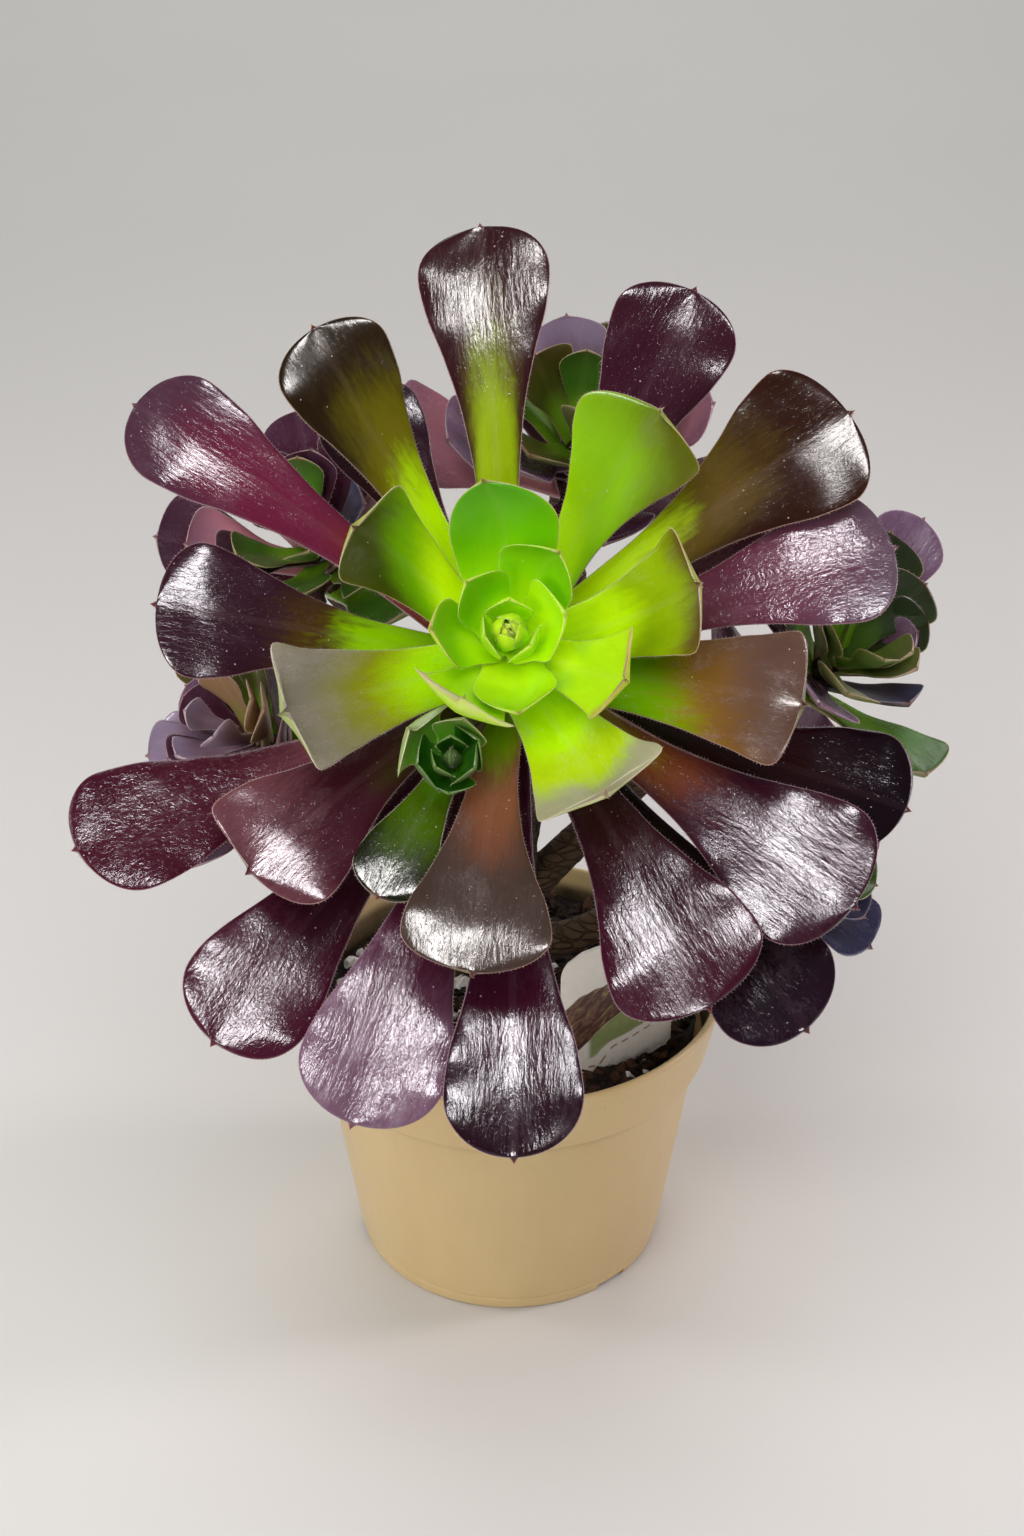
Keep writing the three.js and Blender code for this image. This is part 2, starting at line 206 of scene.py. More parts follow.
# Leaf finish. Colours run from base to tip, and every leaf carries its own four. Glow is light inside the leaf,
# relief its depth in millimetres, shine and gleam strength and tint of the gloss, streak and fleck how marked
# those are, rim the width of its pale edge, light its tone and dust what lies underneath.
leafFinishes = {
    "leaf_lime": {"glow": 0.4, "rough": 0.38, "relief": 0.1, "shine": 0.28, "streak": 0.35, "fleck": 0.15,
                  "rim": 0.16, "light": 0.88, "dust": 0.03, "gleam": (1, 1, 0.94, 1)},
    "leaf_green": {"glow": 0.25, "rough": 0.32, "relief": 0.14, "shine": 0.36, "streak": 0.5, "fleck": 0.3,
                   "rim": 0.2, "light": 0.8, "dust": 0.2, "gleam": (1, 1, 0.96, 1)},
    "leaf_bronze": {"glow": 0.06, "rough": 0.18, "relief": 0.2, "shine": 0.36, "streak": 0.8, "fleck": 0.8,
                    "rim": 0.26, "light": 0.76, "dust": 0.34, "gleam": (1, 0.97, 0.95, 1)},
    "leaf_purple": {"glow": 0.0, "rough": 0.16, "relief": 0.24, "shine": 0.36, "streak": 0.9, "fleck": 1.0,
                    "rim": 0.28, "light": 0.74, "dust": 0.34, "gleam": (1, 0.96, 1, 1)},
    "leaf_dark": {"glow": 0.0, "rough": 0.16, "relief": 0.24, "shine": 0.36, "streak": 1.0, "fleck": 1.0,
                  "rim": 0.28, "light": 0.74, "dust": 0.34, "gleam": (1, 0.96, 1, 1)},
    "side_green": {"glow": 0.1, "rough": 0.32, "relief": 0.12, "shine": 0.36, "streak": 0.5, "fleck": 0.3,
                   "rim": 0.26, "light": 0.76, "dust": 0.2, "gleam": (1, 1, 0.96, 1)},
    "side_purple": {"glow": 0.04, "rough": 0.26, "relief": 0.14, "shine": 0.42, "streak": 0.7, "fleck": 0.4,
                    "rim": 0.28, "light": 0.76, "dust": 0.3, "gleam": (0.96, 0.92, 1, 1)},
}
leafTouches = {"bloomAndSheen": "#b7a6b0", "fleck": "#cdbcbc", "beak": "#6e3428", "dust": "#a08c80"}
leafLayers = ("where", "form", "turns", "skin", "cover", "hueBase", "hueMid", "hueTip", "hueRim")


def leafFinish(name, look):
    paint = Finish(name)
    where = paint.parts(paint.attribute("where"))  # millimetres along and across, and the leaf's own number
    along, across, own = where, where.other("Y"), where.other("Z")
    form = paint.parts(paint.attribute("form"))  # share of the length, millimetres from the edge, upper side
    share, edge, upper = form, form.other("Y"), form.other("Z")
    turns = paint.parts(paint.attribute("turns"))  # where base turns to middle, middle to tip, and how softly
    first, second, soft = turns, turns.other("Y"), turns.other("Z")
    skin = paint.parts(paint.attribute("skin"))  # waxy film, which also paints a pale sheen, how much earlier colour turns here, grain
    waxAndSheen, early, coarse = skin, skin.other("Y"), skin.other("Z")
    cover = paint.parts(paint.attribute("cover"))  # how matt, how far its streaks wind
    matt, winding = cover, cover.other("Y")

    veins = paint.noise(paint.join(along * 0.17, across * 0.78, own), detail=4, rough=0.55, twist=0.5)
    pores = paint.noise(paint.join(along * 0.7, across * 1.3, own), detail=2, rough=0.55, twist=1.1)
    swirls = paint.noise(paint.join(along * 0.34, across * 0.5, own), detail=2, rough=0.5, twist=2.4)
    cloud = paint.noise(paint.join(along * 0.07, across * 0.12, own), detail=3, rough=0.55)
    grain = paint.noise(paint.join(along * 3.1, across * 3.1, own), detail=2)

    drift = share + early + (veins - 0.5) * (0.2 * look["streak"]) + (cloud - 0.5) * 0.2
    colour = paint.blend(paint.ease(drift, first - soft, first + soft),
                         paint.attribute("hueBase", "Color"), paint.attribute("hueMid", "Color"))
    colour = paint.blend(paint.ease(drift, second - soft, second + soft), colour, paint.attribute("hueTip", "Color"))
    tone = look["light"] + cloud * 0.36 + (veins - 0.3) * (0.3 * look["streak"])
    colour = paint.blend(1.0, colour, paint.join(tone, tone, tone), "MULTIPLY")

    midrib = (1 - paint.ease(across * across, 0.05, 1.6)) * 0.04
    colour = paint.blend(midrib * upper, colour, paint.attribute("hueRim", "Color"))
    # Partly painted sheen: the waxy film's pale lilac patches also stand in for a soft sheen.
    bloomAndSheen = paint.ease(cloud + (pores - 0.5) * 0.5, 0.5, 0.8) * waxAndSheen
    colour = paint.blend(bloomAndSheen * 0.22, colour, leafTouches["bloomAndSheen"])

    cells = paint.join(along * 0.42, across * 0.42, own)
    dots = paint.node("ShaderNodeTexVoronoi", {}, {"Vector": cells, "Scale": 1.0})
    chance = paint.parts(dots.other("Color"))
    speck = (dots < 0.03 + chance.other("Y") * 0.06) * (chance > 1 - 0.7 * look["fleck"])
    colour = paint.blend(speck * 0.7, colour, leafTouches["fleck"])
    line = 1 - paint.ease(edge + (grain - 0.5) * 0.24, 0.06, look["rim"])
    colour = paint.blend(line, colour, paint.attribute("hueRim", "Color"))
    beak = (1 - paint.ease(along / share - along, 0.4, 1.8)) * paint.ease(along / share, 14, 34)
    colour = paint.blend(beak * 0.7, colour, leafTouches["beak"])
    under = paint.blend(0.3, colour, paint.attribute("hueBase", "Color"))
    under = paint.blend(look["dust"], under, leafTouches["dust"])
    colour = paint.blend(1 - upper, colour, under)

    rough = look["rough"] + matt + (cloud - 0.5) * 0.14 + bloomAndSheen * 0.08 + (1 - upper) * 0.16 + (pores - 0.5) * 0.1
    pits = paint.ease(pores, 0.6, 0.68)
    lines = veins * (0.6 - winding * 0.3) + swirls * (0.1 + winding * 0.5)
    height = (lines + pores * 0.16 - pits * 0.1) * coarse + grain * 0.012
    normal = paint.bump(height, look["relief"] * mm)
    return paint.close({
        "Base Color": colour, "Roughness": rough, "Normal": normal, "Specular IOR Level": look["shine"],
        "Specular Tint": look["gleam"],
        "Subsurface Weight": look["glow"], "Subsurface Radius": (1.0, 0.9, 0.25), "Subsurface Scale": 0.004,
    })


leafMaterials = {name: leafFinish(name, look) for name, look in leafFinishes.items()}
print("leaf finishes made")

# Half-width along a blade as a share of its widest, up to the shoulder; a smaller "round" squares the end.
outlines = {
    "spoon": {"stops": [(0, .34), (.2, .3), (.38, .32), (.55, .45), (.7, .7), (.8, .92), (.88, 1)], "round": 0.47},
    "fan": {"stops": [(0, .5), (.2, .46), (.4, .52), (.6, .66), (.78, .86), (.9, 1)], "round": 0.36},
    "cup": {"stops": [(0, .6), (.3, .72), (.55, .94), (.7, 1)], "round": 0.56},
    "heart": {"stops": [(0, .6), (.3, .78), (.52, .97), (.64, 1)], "round": 0.8},
    "slim": {"stops": [(0, .34), (.35, .4), (.65, .8), (.84, 1)], "round": 0.52},
}

# Where each rosette sits, in millimetres: turn from the front, tilt from upright, radius of its core.
heads = {
    "main": {"at": (0, -70, 227), "turn": 0, "tilt": 50, "core": 8},
    "back": {"at": (18, 26, 240), "turn": 8, "tilt": 34, "core": 4.5},
    "right": {"at": (86, -24, 201), "turn": 38, "tilt": 42, "core": 4.5},
    "upperLeft": {"at": (-53, 8, 217), "turn": -24, "tilt": 38, "core": 4.5},
    "lowerLeft": {"at": (-72, -14, 172), "turn": -50, "tilt": 50, "core": 4.5},
    "lowerRight": {"at": (80, -4, 134), "turn": 62, "tilt": 58, "core": 4.5},
}

# Leaf: its clock angle, reach and lift of the tip, depth of the root, width, bow of the blade, cup of its edges,
# drop of the tip, and outline, in degrees and millimetres. Then its look: colours of base, middle, tip and rim,
# the two places where the colour turns, how soft the turns are, and the waxy film, which also paints a pale
# sheen. Last comes what is its own, as ownForm lists it.
limeRim = "#c0d06c"
budLime = ("#d8f820", "#c0f010", "#a8e00c", limeRim, .4, .8, .2, 0)
folded = {"curl": (62, 48, 48), "from": 0.42}
mainLeaves = {
    "main_heart": {"slot": "leaf_lime", "leaves": [
        (60, .6, 7.6, 3, 5, 0, .2, 0, "cup", "#e4fc58", "#d8f840", "#d0f030", limeRim, .4, .8, .2, 0),
        (240, .4, 7, 3, 5, 0, .2, 0, "cup", "#e4fc58", "#d8f840", "#d0e848", limeRim, .4, .8, .2, 0),
        (30, 3, 8.6, 3, 6, -.5, .5, 0, "cup", "#dcf828", "#ccf020", "#b8dc28", limeRim, .4, .8, .2, 0, folded),
        (215, 2.6, 8, 3, 6, -.5, .5, 0, "cup", "#dcf828", "#ccf020", "#c0b848", limeRim, .4, .9, .1, 0, folded),
        (120, 2.2, 7.6, 3, 5.4, -.4, .6, 0, "cup", "#e0fc34", "#d0f024", "#bede30", limeRim, .4, .8, .2, 0, folded),
        (300, 2.2, 7.2, 3, 5.4, -.4, .6, 0, "cup", "#e0fc34", "#d0f024", "#b8a850", limeRim, .4, .9, .1, 0, folded),
        (250, 4.2, 8.4, 4, 7.6, -.8, .5, 0, "cup", *budLime, folded),
        (70, 4.4, 8.8, 4, 7.6, -.8, .5, 0, "cup", *budLime, folded),
        (160, 4.2, 8.6, 4, 7, -.8, .5, 0, "cup", *budLime, folded),
        (345, 4.4, 8.6, 4, 7, -.8, .5, 0, "cup", *budLime, folded),
        (90, 6.4, 9, 5, 11, -2.2, .4, 0, "cup", "#ccf410", "#b4e808", "#a0d810", limeRim, .4, .8, .2, 0),
        (200, 5.8, 9, 5, 11, -2.2, .4, 0, "cup", "#ccf410", "#a8e008", "#80c00c", limeRim, .4, .8, .2, 0),
        (318, 6.2, 9, 6, 11, -2.2, .4, 0, "cup", "#d0f414", "#b8ec08", "#a0dc10", limeRim, .4, .8, .2, 0),
        (8, 12.7, 12.5, 8, 19, -2.6, .42, 0, "cup", "#d0f410", "#b4e806", "#a4e408", limeRim, .45, .8, .2, .1,
         {"horn": (0, 1), "roll": .05, "slide": 1}),
        (136, 13.7, 13, 8, 15, -2.6, .35, 0, "cup", "#c4f008", "#84c804", "#80c008", limeRim, .45, .75, .2, .1,
         {"horn": (.8, 0), "roll": -.04, "slide": -1.2}),
        (184, 17.8, 13, 9, 16, -3, .35, 0, "cup", "#c4f008", "#90cc06", "#84b80a", "#c4a878", .5, .8, .2, .1,
         {"horn": (1, .4), "roll": .05}),
        (276, 20.6, 11, 10, 19, -2, .3, .5, "heart", "#c8f008", "#a8dc08", "#80b408", limeRim, .5, .9, .2, .2,
         {"roll": .02}),
        (54, 19.8, 14, 11, 20, -3, .35, 0, "cup", "#c8f208", "#8cd002", "#64a408", limeRim, .45, .8, .25, .1,
         {"horn": (1.4, .4), "roll": -.06, "slide": 2.4}),
        (238, 25.7, 12, 12, 26, -2, .25, 1, "fan", "#c4f008", "#a8dc08", "#c4a890", "#c8a088", .5, .89, .1, .3,
         {"horn": (2, 2.5), "curl": (125, 130, 160), "from": .74}),
        (334, 30.4, 12, 13, 23, -2, .25, 1, "fan", "#d4fc08", "#acd810", "#a89448", "#b49478", .5, .95, .08, .4,
         {"horn": (2.2, 2.5), "curl": (12, 40, 60), "roll": .05}),
        (101, 33.2, 16, 13, 25, -2.5, .3, 0, "cup", "#bcec08", "#70bc02", "#489008", "#c0a87a", .45, .84, .25, .1,
         {"horn": (2, .5), "roll": -.04, "slide": -3.4}),
    ]},
    "main_inner": {"slot": "leaf_green", "leaves": [
        (147.5, 42.4, 13, 22.5, 25, -3, .22, 1, "fan", "#d4fa00", "#76ac02", "#42480e", "#b09a82", .52, .78, .16, .3,
         {"horn": (4, 0), "lean": .24, "curl": (0, 20, 0), "slide": -2}),
        (299.5, 45.9, 10, 21.5, 32, -2.5, .18, 2, "fan", "#bcf000", "#b4d20c", "#9c9878", "#cfc0a4", .6, .84, .09, .7,
         {"horn": (3.5, 4), "curl": (30, 10, 25)}),
        (13.6, 44.9, 10, 22, 29, -2.5, .18, 2, "fan", "#ccf800", "#8ca802", "#544008", "#c0a48c", .6, .92, .12, .3,
         {"horn": (0, 3.5), "curl": (0, 0, 25), "roll": -.05, "slide": -2}),
        (201, 56, 8, 22.5, 31, 0, .12, 1, "fan", "#b8ec00", "#8c8c06", "#857c6c", "#b8aa9c", .5, .74, .16, .7,
         {"horn": (4, 3.5), "curl": (5, 50, 45), "lean": -.06, "roll": .06, "twist": -.12, "matt": -.08,
          "grain": 2, "wind": .5}),
        (55.5, 62.6, 10, 22.5, 32, -2, .2, 1.5, "spoon", "#c8f400", "#84b802", "#545804", "#a88478", .46, .88, .2, .2,
         {"horn": (1.5, 0), "lean": -.16, "curl": (0, 30, 0), "slide": 1.5}),
    ]},
    "main_middle": {"slot": "leaf_bronze", "leaves": [
        (346, 70, 4, 30, 32, 1.8, .09, 2, "fan", "#70a400", "#82580e", "#5c4238", "#a8847a", .56, .74, .16, .6,
         {"roll": -.04, "twist": -.01, "horn": (2, 2), "lean": .1, "early": 0, "grain": .6,
          "curl": (0, 15, 25), "matt": .02}),
        (264, 79, 4, 30, 34, 3.2, .09, 2, "spoon", "#94b800", "#7c4a32", "#42322c", "#a08078", .34, .62, .13, .3,
         {"roll": .04, "twist": .06, "early": .1, "grain": 1}),
        (122, 87, 4, 30.5, 28, 1.1, .11, 2, "spoon", "#bcec00", "#645c04", "#241603", "#987c6a", .52, .76, .13, .05,
         {"roll": -.02, "lean": .12, "grain": .5}),
        (94, 100, 0, 31.5, 31, 9.8, .08, .5, "spoon", "#90a804", "#4c3c0c", "#301014", "#b08d90", .68, .79, .12, .1,
         {"roll": -.1, "twist": -.08, "early": .34, "grain": 1.2}),
        (34, 97, 0, 31, 36, .9, .14, 2, "spoon", "#ccf400", "#604a14", "#2c1006", "#b48e84", .46, .72, .12, .1,
         {"roll": .05, "twist": -.03, "lean": -.08, "grain": .6}),
        (243, 67, -8, 32, 19, 1.7, .06, 1, "spoon", "#60b000", "#446002", "#161a06", "#a89c90", .5, .8, .14, .1,
         {"roll": .03, "twist": .01, "matt": -.03}),
    ]},
    "main_outer": {"slot": "leaf_purple", "leaves": [
        (174, 83.5, -4, 40, 33, 5, .1, 1.2, "spoon", "#a4e000", "#4c340c", "#30101e", "#947478", .5, .64, .1, .1,
         {"roll": .1, "twist": .12, "early": .04, "grain": .8}),
        (222, 81, -6, 40, 34, 4.3, .06, 1.4, "spoon", "#383008", "#401222", "#683a42", "#b08e88", .42, .84, .16, .3,
         {"roll": .05, "twist": -.01, "lean": -.14, "horn": (5, 0), "curl": (0, 20, 0), "grain": .8}),
        (298, 97, -6, 40.5, 37, 7.8, .09, 0, "spoon", "#2c2410", "#2c0714", "#3a0a1e", "#8c6a72", .34, .8, .14, .15,
         {"roll": .11, "twist": -.07, "mattSide": .04}),
        (147, 106, -6, 42, 27, 9.8, .12, 1.4, "spoon", "#7c3028", "#661a36", "#482838", "#9c7a80", .42, .84, .14, .15,
         {"roll": -.1, "twist": -.06, "mattSide": -.04}),
        (322, 101, -8, 42.5, 37, 6.5, .13, 0, "spoon", "#a09018", "#74361e", "#341020", "#8c6a72", .36, .56, .12, .2,
         {"roll": -.07, "twist": .19}),
        (63, 98, -8, 41, 31, 2.1, .16, 1, "spoon", "#340c1c", "#380e22", "#36101e", "#94747c", .4, .86, .16, .1,
         {"twist": -.03}),
        (14.5, 94, -8, 42, 32, 7.4, .1, 1.5, "spoon", "#742c30", "#642c42", "#604a5a", "#a88488", .4, .88, .16, .3,
         {"roll": -.13, "twist": -.06, "grain": 1.3, "wind": .7}),
        (338, 101, -17, 43.5, 32, 1.2, .13, 1, "spoon", "#1c060e", "#2c080e", "#10020a", "#7c5c64", .4, .8, .16, 0,
         {"roll": -.27, "twist": -.13, "grain": .4, "matt": -.03}),
    ]},
    "main_lower": {"slot": "leaf_dark", "leaves": [
        (205, 112, -15, 51.5, 32, 1.3, .08, 1.6, "spoon", "#90505c", "#461022", "#420c20", "#8c5c6c", .5, .8, .18, .3,
         {"roll": .19, "twist": .2, "grain": 1.2, "wind": 1, "matt": .03}),
        (233.5, 115, -17, 53, 32, 2.8, .06, 0, "spoon", "#3c1220", "#320a1a", "#441226", "#8c6470", .4, .8, .16, .15,
         {"roll": -.11, "twist": .21, "wind": .4, "mattBase": .08}),
        (252, 117, -15, 52, 34, 6.6, .12, 0, "spoon", "#301014", "#48182e", "#705064", "#a07c88", .4, .8, .16, 1,
         {"roll": -.03, "twist": -.12, "grain": 1.5}),
        (270.5, 119, -14, 51.5, 32, 7.2, .18, 0, "spoon", "#380a20", "#3c0c24", "#220814", "#a07c88", .4, .8, .16, .2,
         {"roll": .03, "mattEdge": .06, "matt": -.02}),
        (308, 113, -22, 54, 31, 4.2, .11, 2, "spoon", "#120608", "#180712", "#1e0a18", "#84606c", .4, .8, .16, .3,
         {"roll": .16, "twist": .03, "grain": .8}),
        (23, 84, -20, 52.5, 27, 5, .14, 1, "spoon", "#52203a", "#562840", "#502840", "#94707a", .4, .8, .16, .4),
        (120, 78, -24, 53, 26, 5, .14, 1, "spoon", "#341426", "#381420", "#301426", "#86686e", .4, .8, .16, .3),
    ]},
}
ownForm = {
    "roll": 0, "twist": 0,  # turn about its length: towards the tip, and from one side at the root to the other
    "horn": (0, 0),  # how far the corners are drawn out, low side and high side
    "curl": (0, 0, 0), "from": 0.76,  # bend of the end at the middle, low and high side, and where it starts
    "slide": 0,  # swing of the blade's middle to the high side
    "early": 0.1, "lean": 0,  # how much sooner the colour turns at the edges, and on the high side
    "grain": 1, "wind": 0,  # depth of the fine relief, and how far its streaks wind
    "matt": 0, "mattSide": 0, "mattEdge": 0, "mattBase": 0,  # more roughness: all over, high side, edges, base
}

# Looks of the small leaves, in the order of a leaf's look.
sideLooks = {
    "green": ("#7cb01e", "#4c7c20", "#3c5c1c", "#b09474", .5, .85, .16, .1),
    "olive": ("#6c9418", "#4c5010", "#443c14", "#a08468", .45, .8, .16, .1),
    "moss": ("#587c20", "#2c3e1c", "#2a3420", "#a08480", .4, .85, .16, .2),
    "sage": ("#9cb848", "#74843c", "#686c40", "#c8a898", .45, .85, .16, .2),
    "tan": ("#8c8444", "#9c7c58", "#94705c", "#c4a490", .4, .85, .16, .3),
    "pink": ("#fcb0b8", "#d48c9c", "#8c5c72", "#c8a8b4", .45, .85, .2, .3),
    "mauve": ("#7c5860", "#6c4460", "#7c5c78", "#b094a8", .3, .8, .16, .9),
    "lilac": ("#745064", "#84687c", "#94809c", "#c0acb8", .3, .8, .16, 1),
    "plum": ("#5c3834", "#4c2034", "#48263a", "#a08490", .3, .8, .16, .3),
    "slate": ("#3c383c", "#2c2434", "#302e4c", "#787488", .35, .8, .16, .5),
}

# Side rosettes: clock of the first leaf, reach and lift of the innermost and the outermost, depth of the core,
# looks of the leaves from the heart outwards and of the fill leaves between them, and which leaves are moved:
# turned, made longer, made wider.
sideHeads = {
    "back": {
        "start": 250, "reach": (7, 54), "lift": (16, 6), "depth": 30,
        "looks": "olive green olive green lilac mauve pink mauve plum plum pink plum",
        "fill": "olive green olive olive green plum olive mauve",
        "moved": {"leaf2": (-32, 1, 1.3), "leaf4": (13, 1, 1), "leaf9": (0, 0.84, 0.8),
                  "fill1": (-10, 0.66, 1), "fill6": (0, 0.8, 0.8)},
    },
    "right": {
        "start": 100, "reach": (6, 46), "lift": (15, 4), "depth": 28,
        "looks": "green green moss sage sage mauve mauve mauve plum green mauve plum",
        "fill": "green sage green sage moss green slate moss",
        "moved": {"leaf2": (0, 1.4, 1), "leaf4": (0, 0.65, 1), "leaf7": (0, 0.45, 0.8), "leaf9": (5, 0.98, 0.85),
                  "leaf10": (-3, 1.04, 0.7), "fill1": (0, 0.6, 1), "fill4": (0, 0.7, 1), "fill6": (0, 0.7, 1)},
    },
    "upperLeft": {
        "start": 40, "reach": (6, 46), "lift": (15, 4), "depth": 28,
        "looks": "green plum green plum plum pink plum plum pink plum green plum",
        "fill": "green green slate pink green plum pink green",
        "moved": {"leaf11": (0, 0.78, 0.85), "leaf6": (0, 0.8, 1)},
    },
    "lowerLeft": {
        "start": 200, "reach": (5, 40), "lift": (13, 2), "depth": 26,
        "looks": "lilac lilac tan plum tan mauve plum plum lilac plum olive plum",
        "fill": "lilac tan plum lilac olive lilac plum olive",
        "moved": {"leaf5": (0, 0.7, 1), "leaf8": (0, 0.72, 1), "leaf11": (13, 1, 1), "fill2": (0, 0.7, 1)},
    },
    "lowerRight": {
        "start": 320, "reach": (5, 40), "lift": (13, 2), "depth": 26,
        "looks": "green green slate green slate green slate slate mauve slate slate plum",
        "fill": "green slate green slate green slate green slate",
        "moved": {"leaf5": (0, 1.1, 1), "leaf10": (12, 1, 1.15)},
    },
}
sideRosette = {
    "leaves": 12, "heartLeaves": 5, "goldenAngle": 137.5, "outline": "slim",
    "fill": (0.2, 0.62), "fillClock": 62,  # where the fill leaves stand between heart and edge, and their turn
    "width": (6, 0.54),  # a leaf's width: at the core, and how much it grows with the reach
}
deepGreen = ("#3c7c08", "#1c5406", "#184406", "#5c8430", .35, .8, .2, .1)
paleGreen = ("#4c8c10", "#5c9428", "#8ca058", "#d0c4a0", .5, .84, .16, .3)
sprout = {
    "clock": 245, "out": 31, "lift": -3, "stub": 2.2,
    "leaves": [
        (0, 1, 6, 4, 4.5, -.4, .5, 0, "cup", *deepGreen, folded),
        (180, .8, 5.6, 4, 4.5, -.4, .5, 0, "cup", *deepGreen, folded),
        (90, 4, 7, 4, 7, -1, .5, 0, "cup", *deepGreen),
        (220, 4.5, 7, 4, 8, -1, .5, 0, "cup", *deepGreen),
        (330, 6, 6.5, 4, 11, -1.4, .45, 0, "cup", *deepGreen),
        (30, 7, 5.5, 4, 12, -1.6, .4, 0, "cup", *deepGreen),
        (195, 8, 4.5, 4, 14, -1.8, .4, 0, "cup", *deepGreen),
        (265, 8.5, 2.5, 4, 12, -1, .35, 0, "cup", *deepGreen),
        (72, 9, 5.5, 4, 13, -1.8, .4, 0, "cup", *paleGreen),
        (148, 12, 6, 4, 21, -2.4, .35, 0, "fan", *paleGreen, {"horn": (2, 1), "curl": (10, 50, 25), "from": .5}),
    ],
}
bladeDetail = {
    "sides": 24, "steps": 46, "endSteps": 18,  # cells across, along and round the end of a large leaf
    "fineness": ((22, 1.0), (12, 0.7), (0, 0.5)),  # share of those cells for leaves wider than so many millimetres
    "sideFineness": 0.6, "sproutFineness": 0.5,
    "rootRadius": 1.5, "thickness": (1.1, 0.035),  # thickness: least, and how much it grows with the length
    "swell": 0.07,  # height of the blade's slow waves, in millimetres
    "ripple": 0.55,  # height of the waves at its edges
    "fold": 0.3,  # depth of the fold along the middle near the tip
    "spike": 1.7, "spikeHalf": 1.0,  # length and half-width of the beak
    "seed": 4,
}


def through(stops, at):  # smooth line through stops that doesn't overshoot, level at its end
    x = np.array([p[0] for p in stops], float)
    y = np.array([p[1] for p in stops], float)
    step = np.diff(x)
    rise = np.diff(y) / step
    slope = np.zeros(len(x))
    slope[0] = rise[0]
    for i in range(1, len(x) - 1):
        if rise[i - 1] * rise[i] > 0:
            slope[i] = 2 * rise[i - 1] * rise[i] / (rise[i - 1] + rise[i])
    k = np.clip(np.searchsorted(x, at, side="right") - 1, 0, len(step) - 1)
    t = (at - x[k]) / step[k]
    back = (1 - t) ** 2
    return (y[k] * (1 + 2 * t) * back + step[k] * slope[k] * t * back
            + y[k + 1] * t * t * (3 - 2 * t) + step[k] * slope[k + 1] * t * t * (t - 1))


def turned(vectors, angle):
    c, s = np.cos(angle), np.sin(angle)
    return np.stack([c * vectors[..., 0] - s * vectors[..., 1], s * vectors[..., 0] + c * vectors[..., 1]], axis=-1)


def bentLine(start, bend, end, at, curl):  # points and directions along a bent line whose end also curls
    p = ((1 - at) ** 2)[..., None] * start + (2 * at * (1 - at))[..., None] * bend + (at * at)[..., None] * end
    t = 2 * ((1 - at)[..., None] * (bend - start) + at[..., None] * (end - bend))
    t = t / np.linalg.norm(t, axis=-1, keepdims=True)
    hops = turned(np.diff(p, axis=0), (curl[1:] + curl[:-1]) / 2)
    p = np.concatenate([p[:1], p[:1] + np.cumsum(hops, axis=0)])
    return p, turned(t, curl)


def headMatrix(head):  # a head's own axes, and where it stands
    turn, tilt = math.radians(head["turn"]), math.radians(head["tilt"])
    facing = np.array([math.sin(tilt) * math.sin(turn), -math.sin(tilt) * math.cos(turn), math.cos(tilt)])
    right = np.array([math.cos(turn), math.sin(turn), 0])
    return np.array([right, np.cross(facing, right), facing]), np.array(head["at"], float)


def below(head, depth):  # point down a head's axis
    axes, at = headMatrix(head)
    return tuple(at - axes[2] * depth)


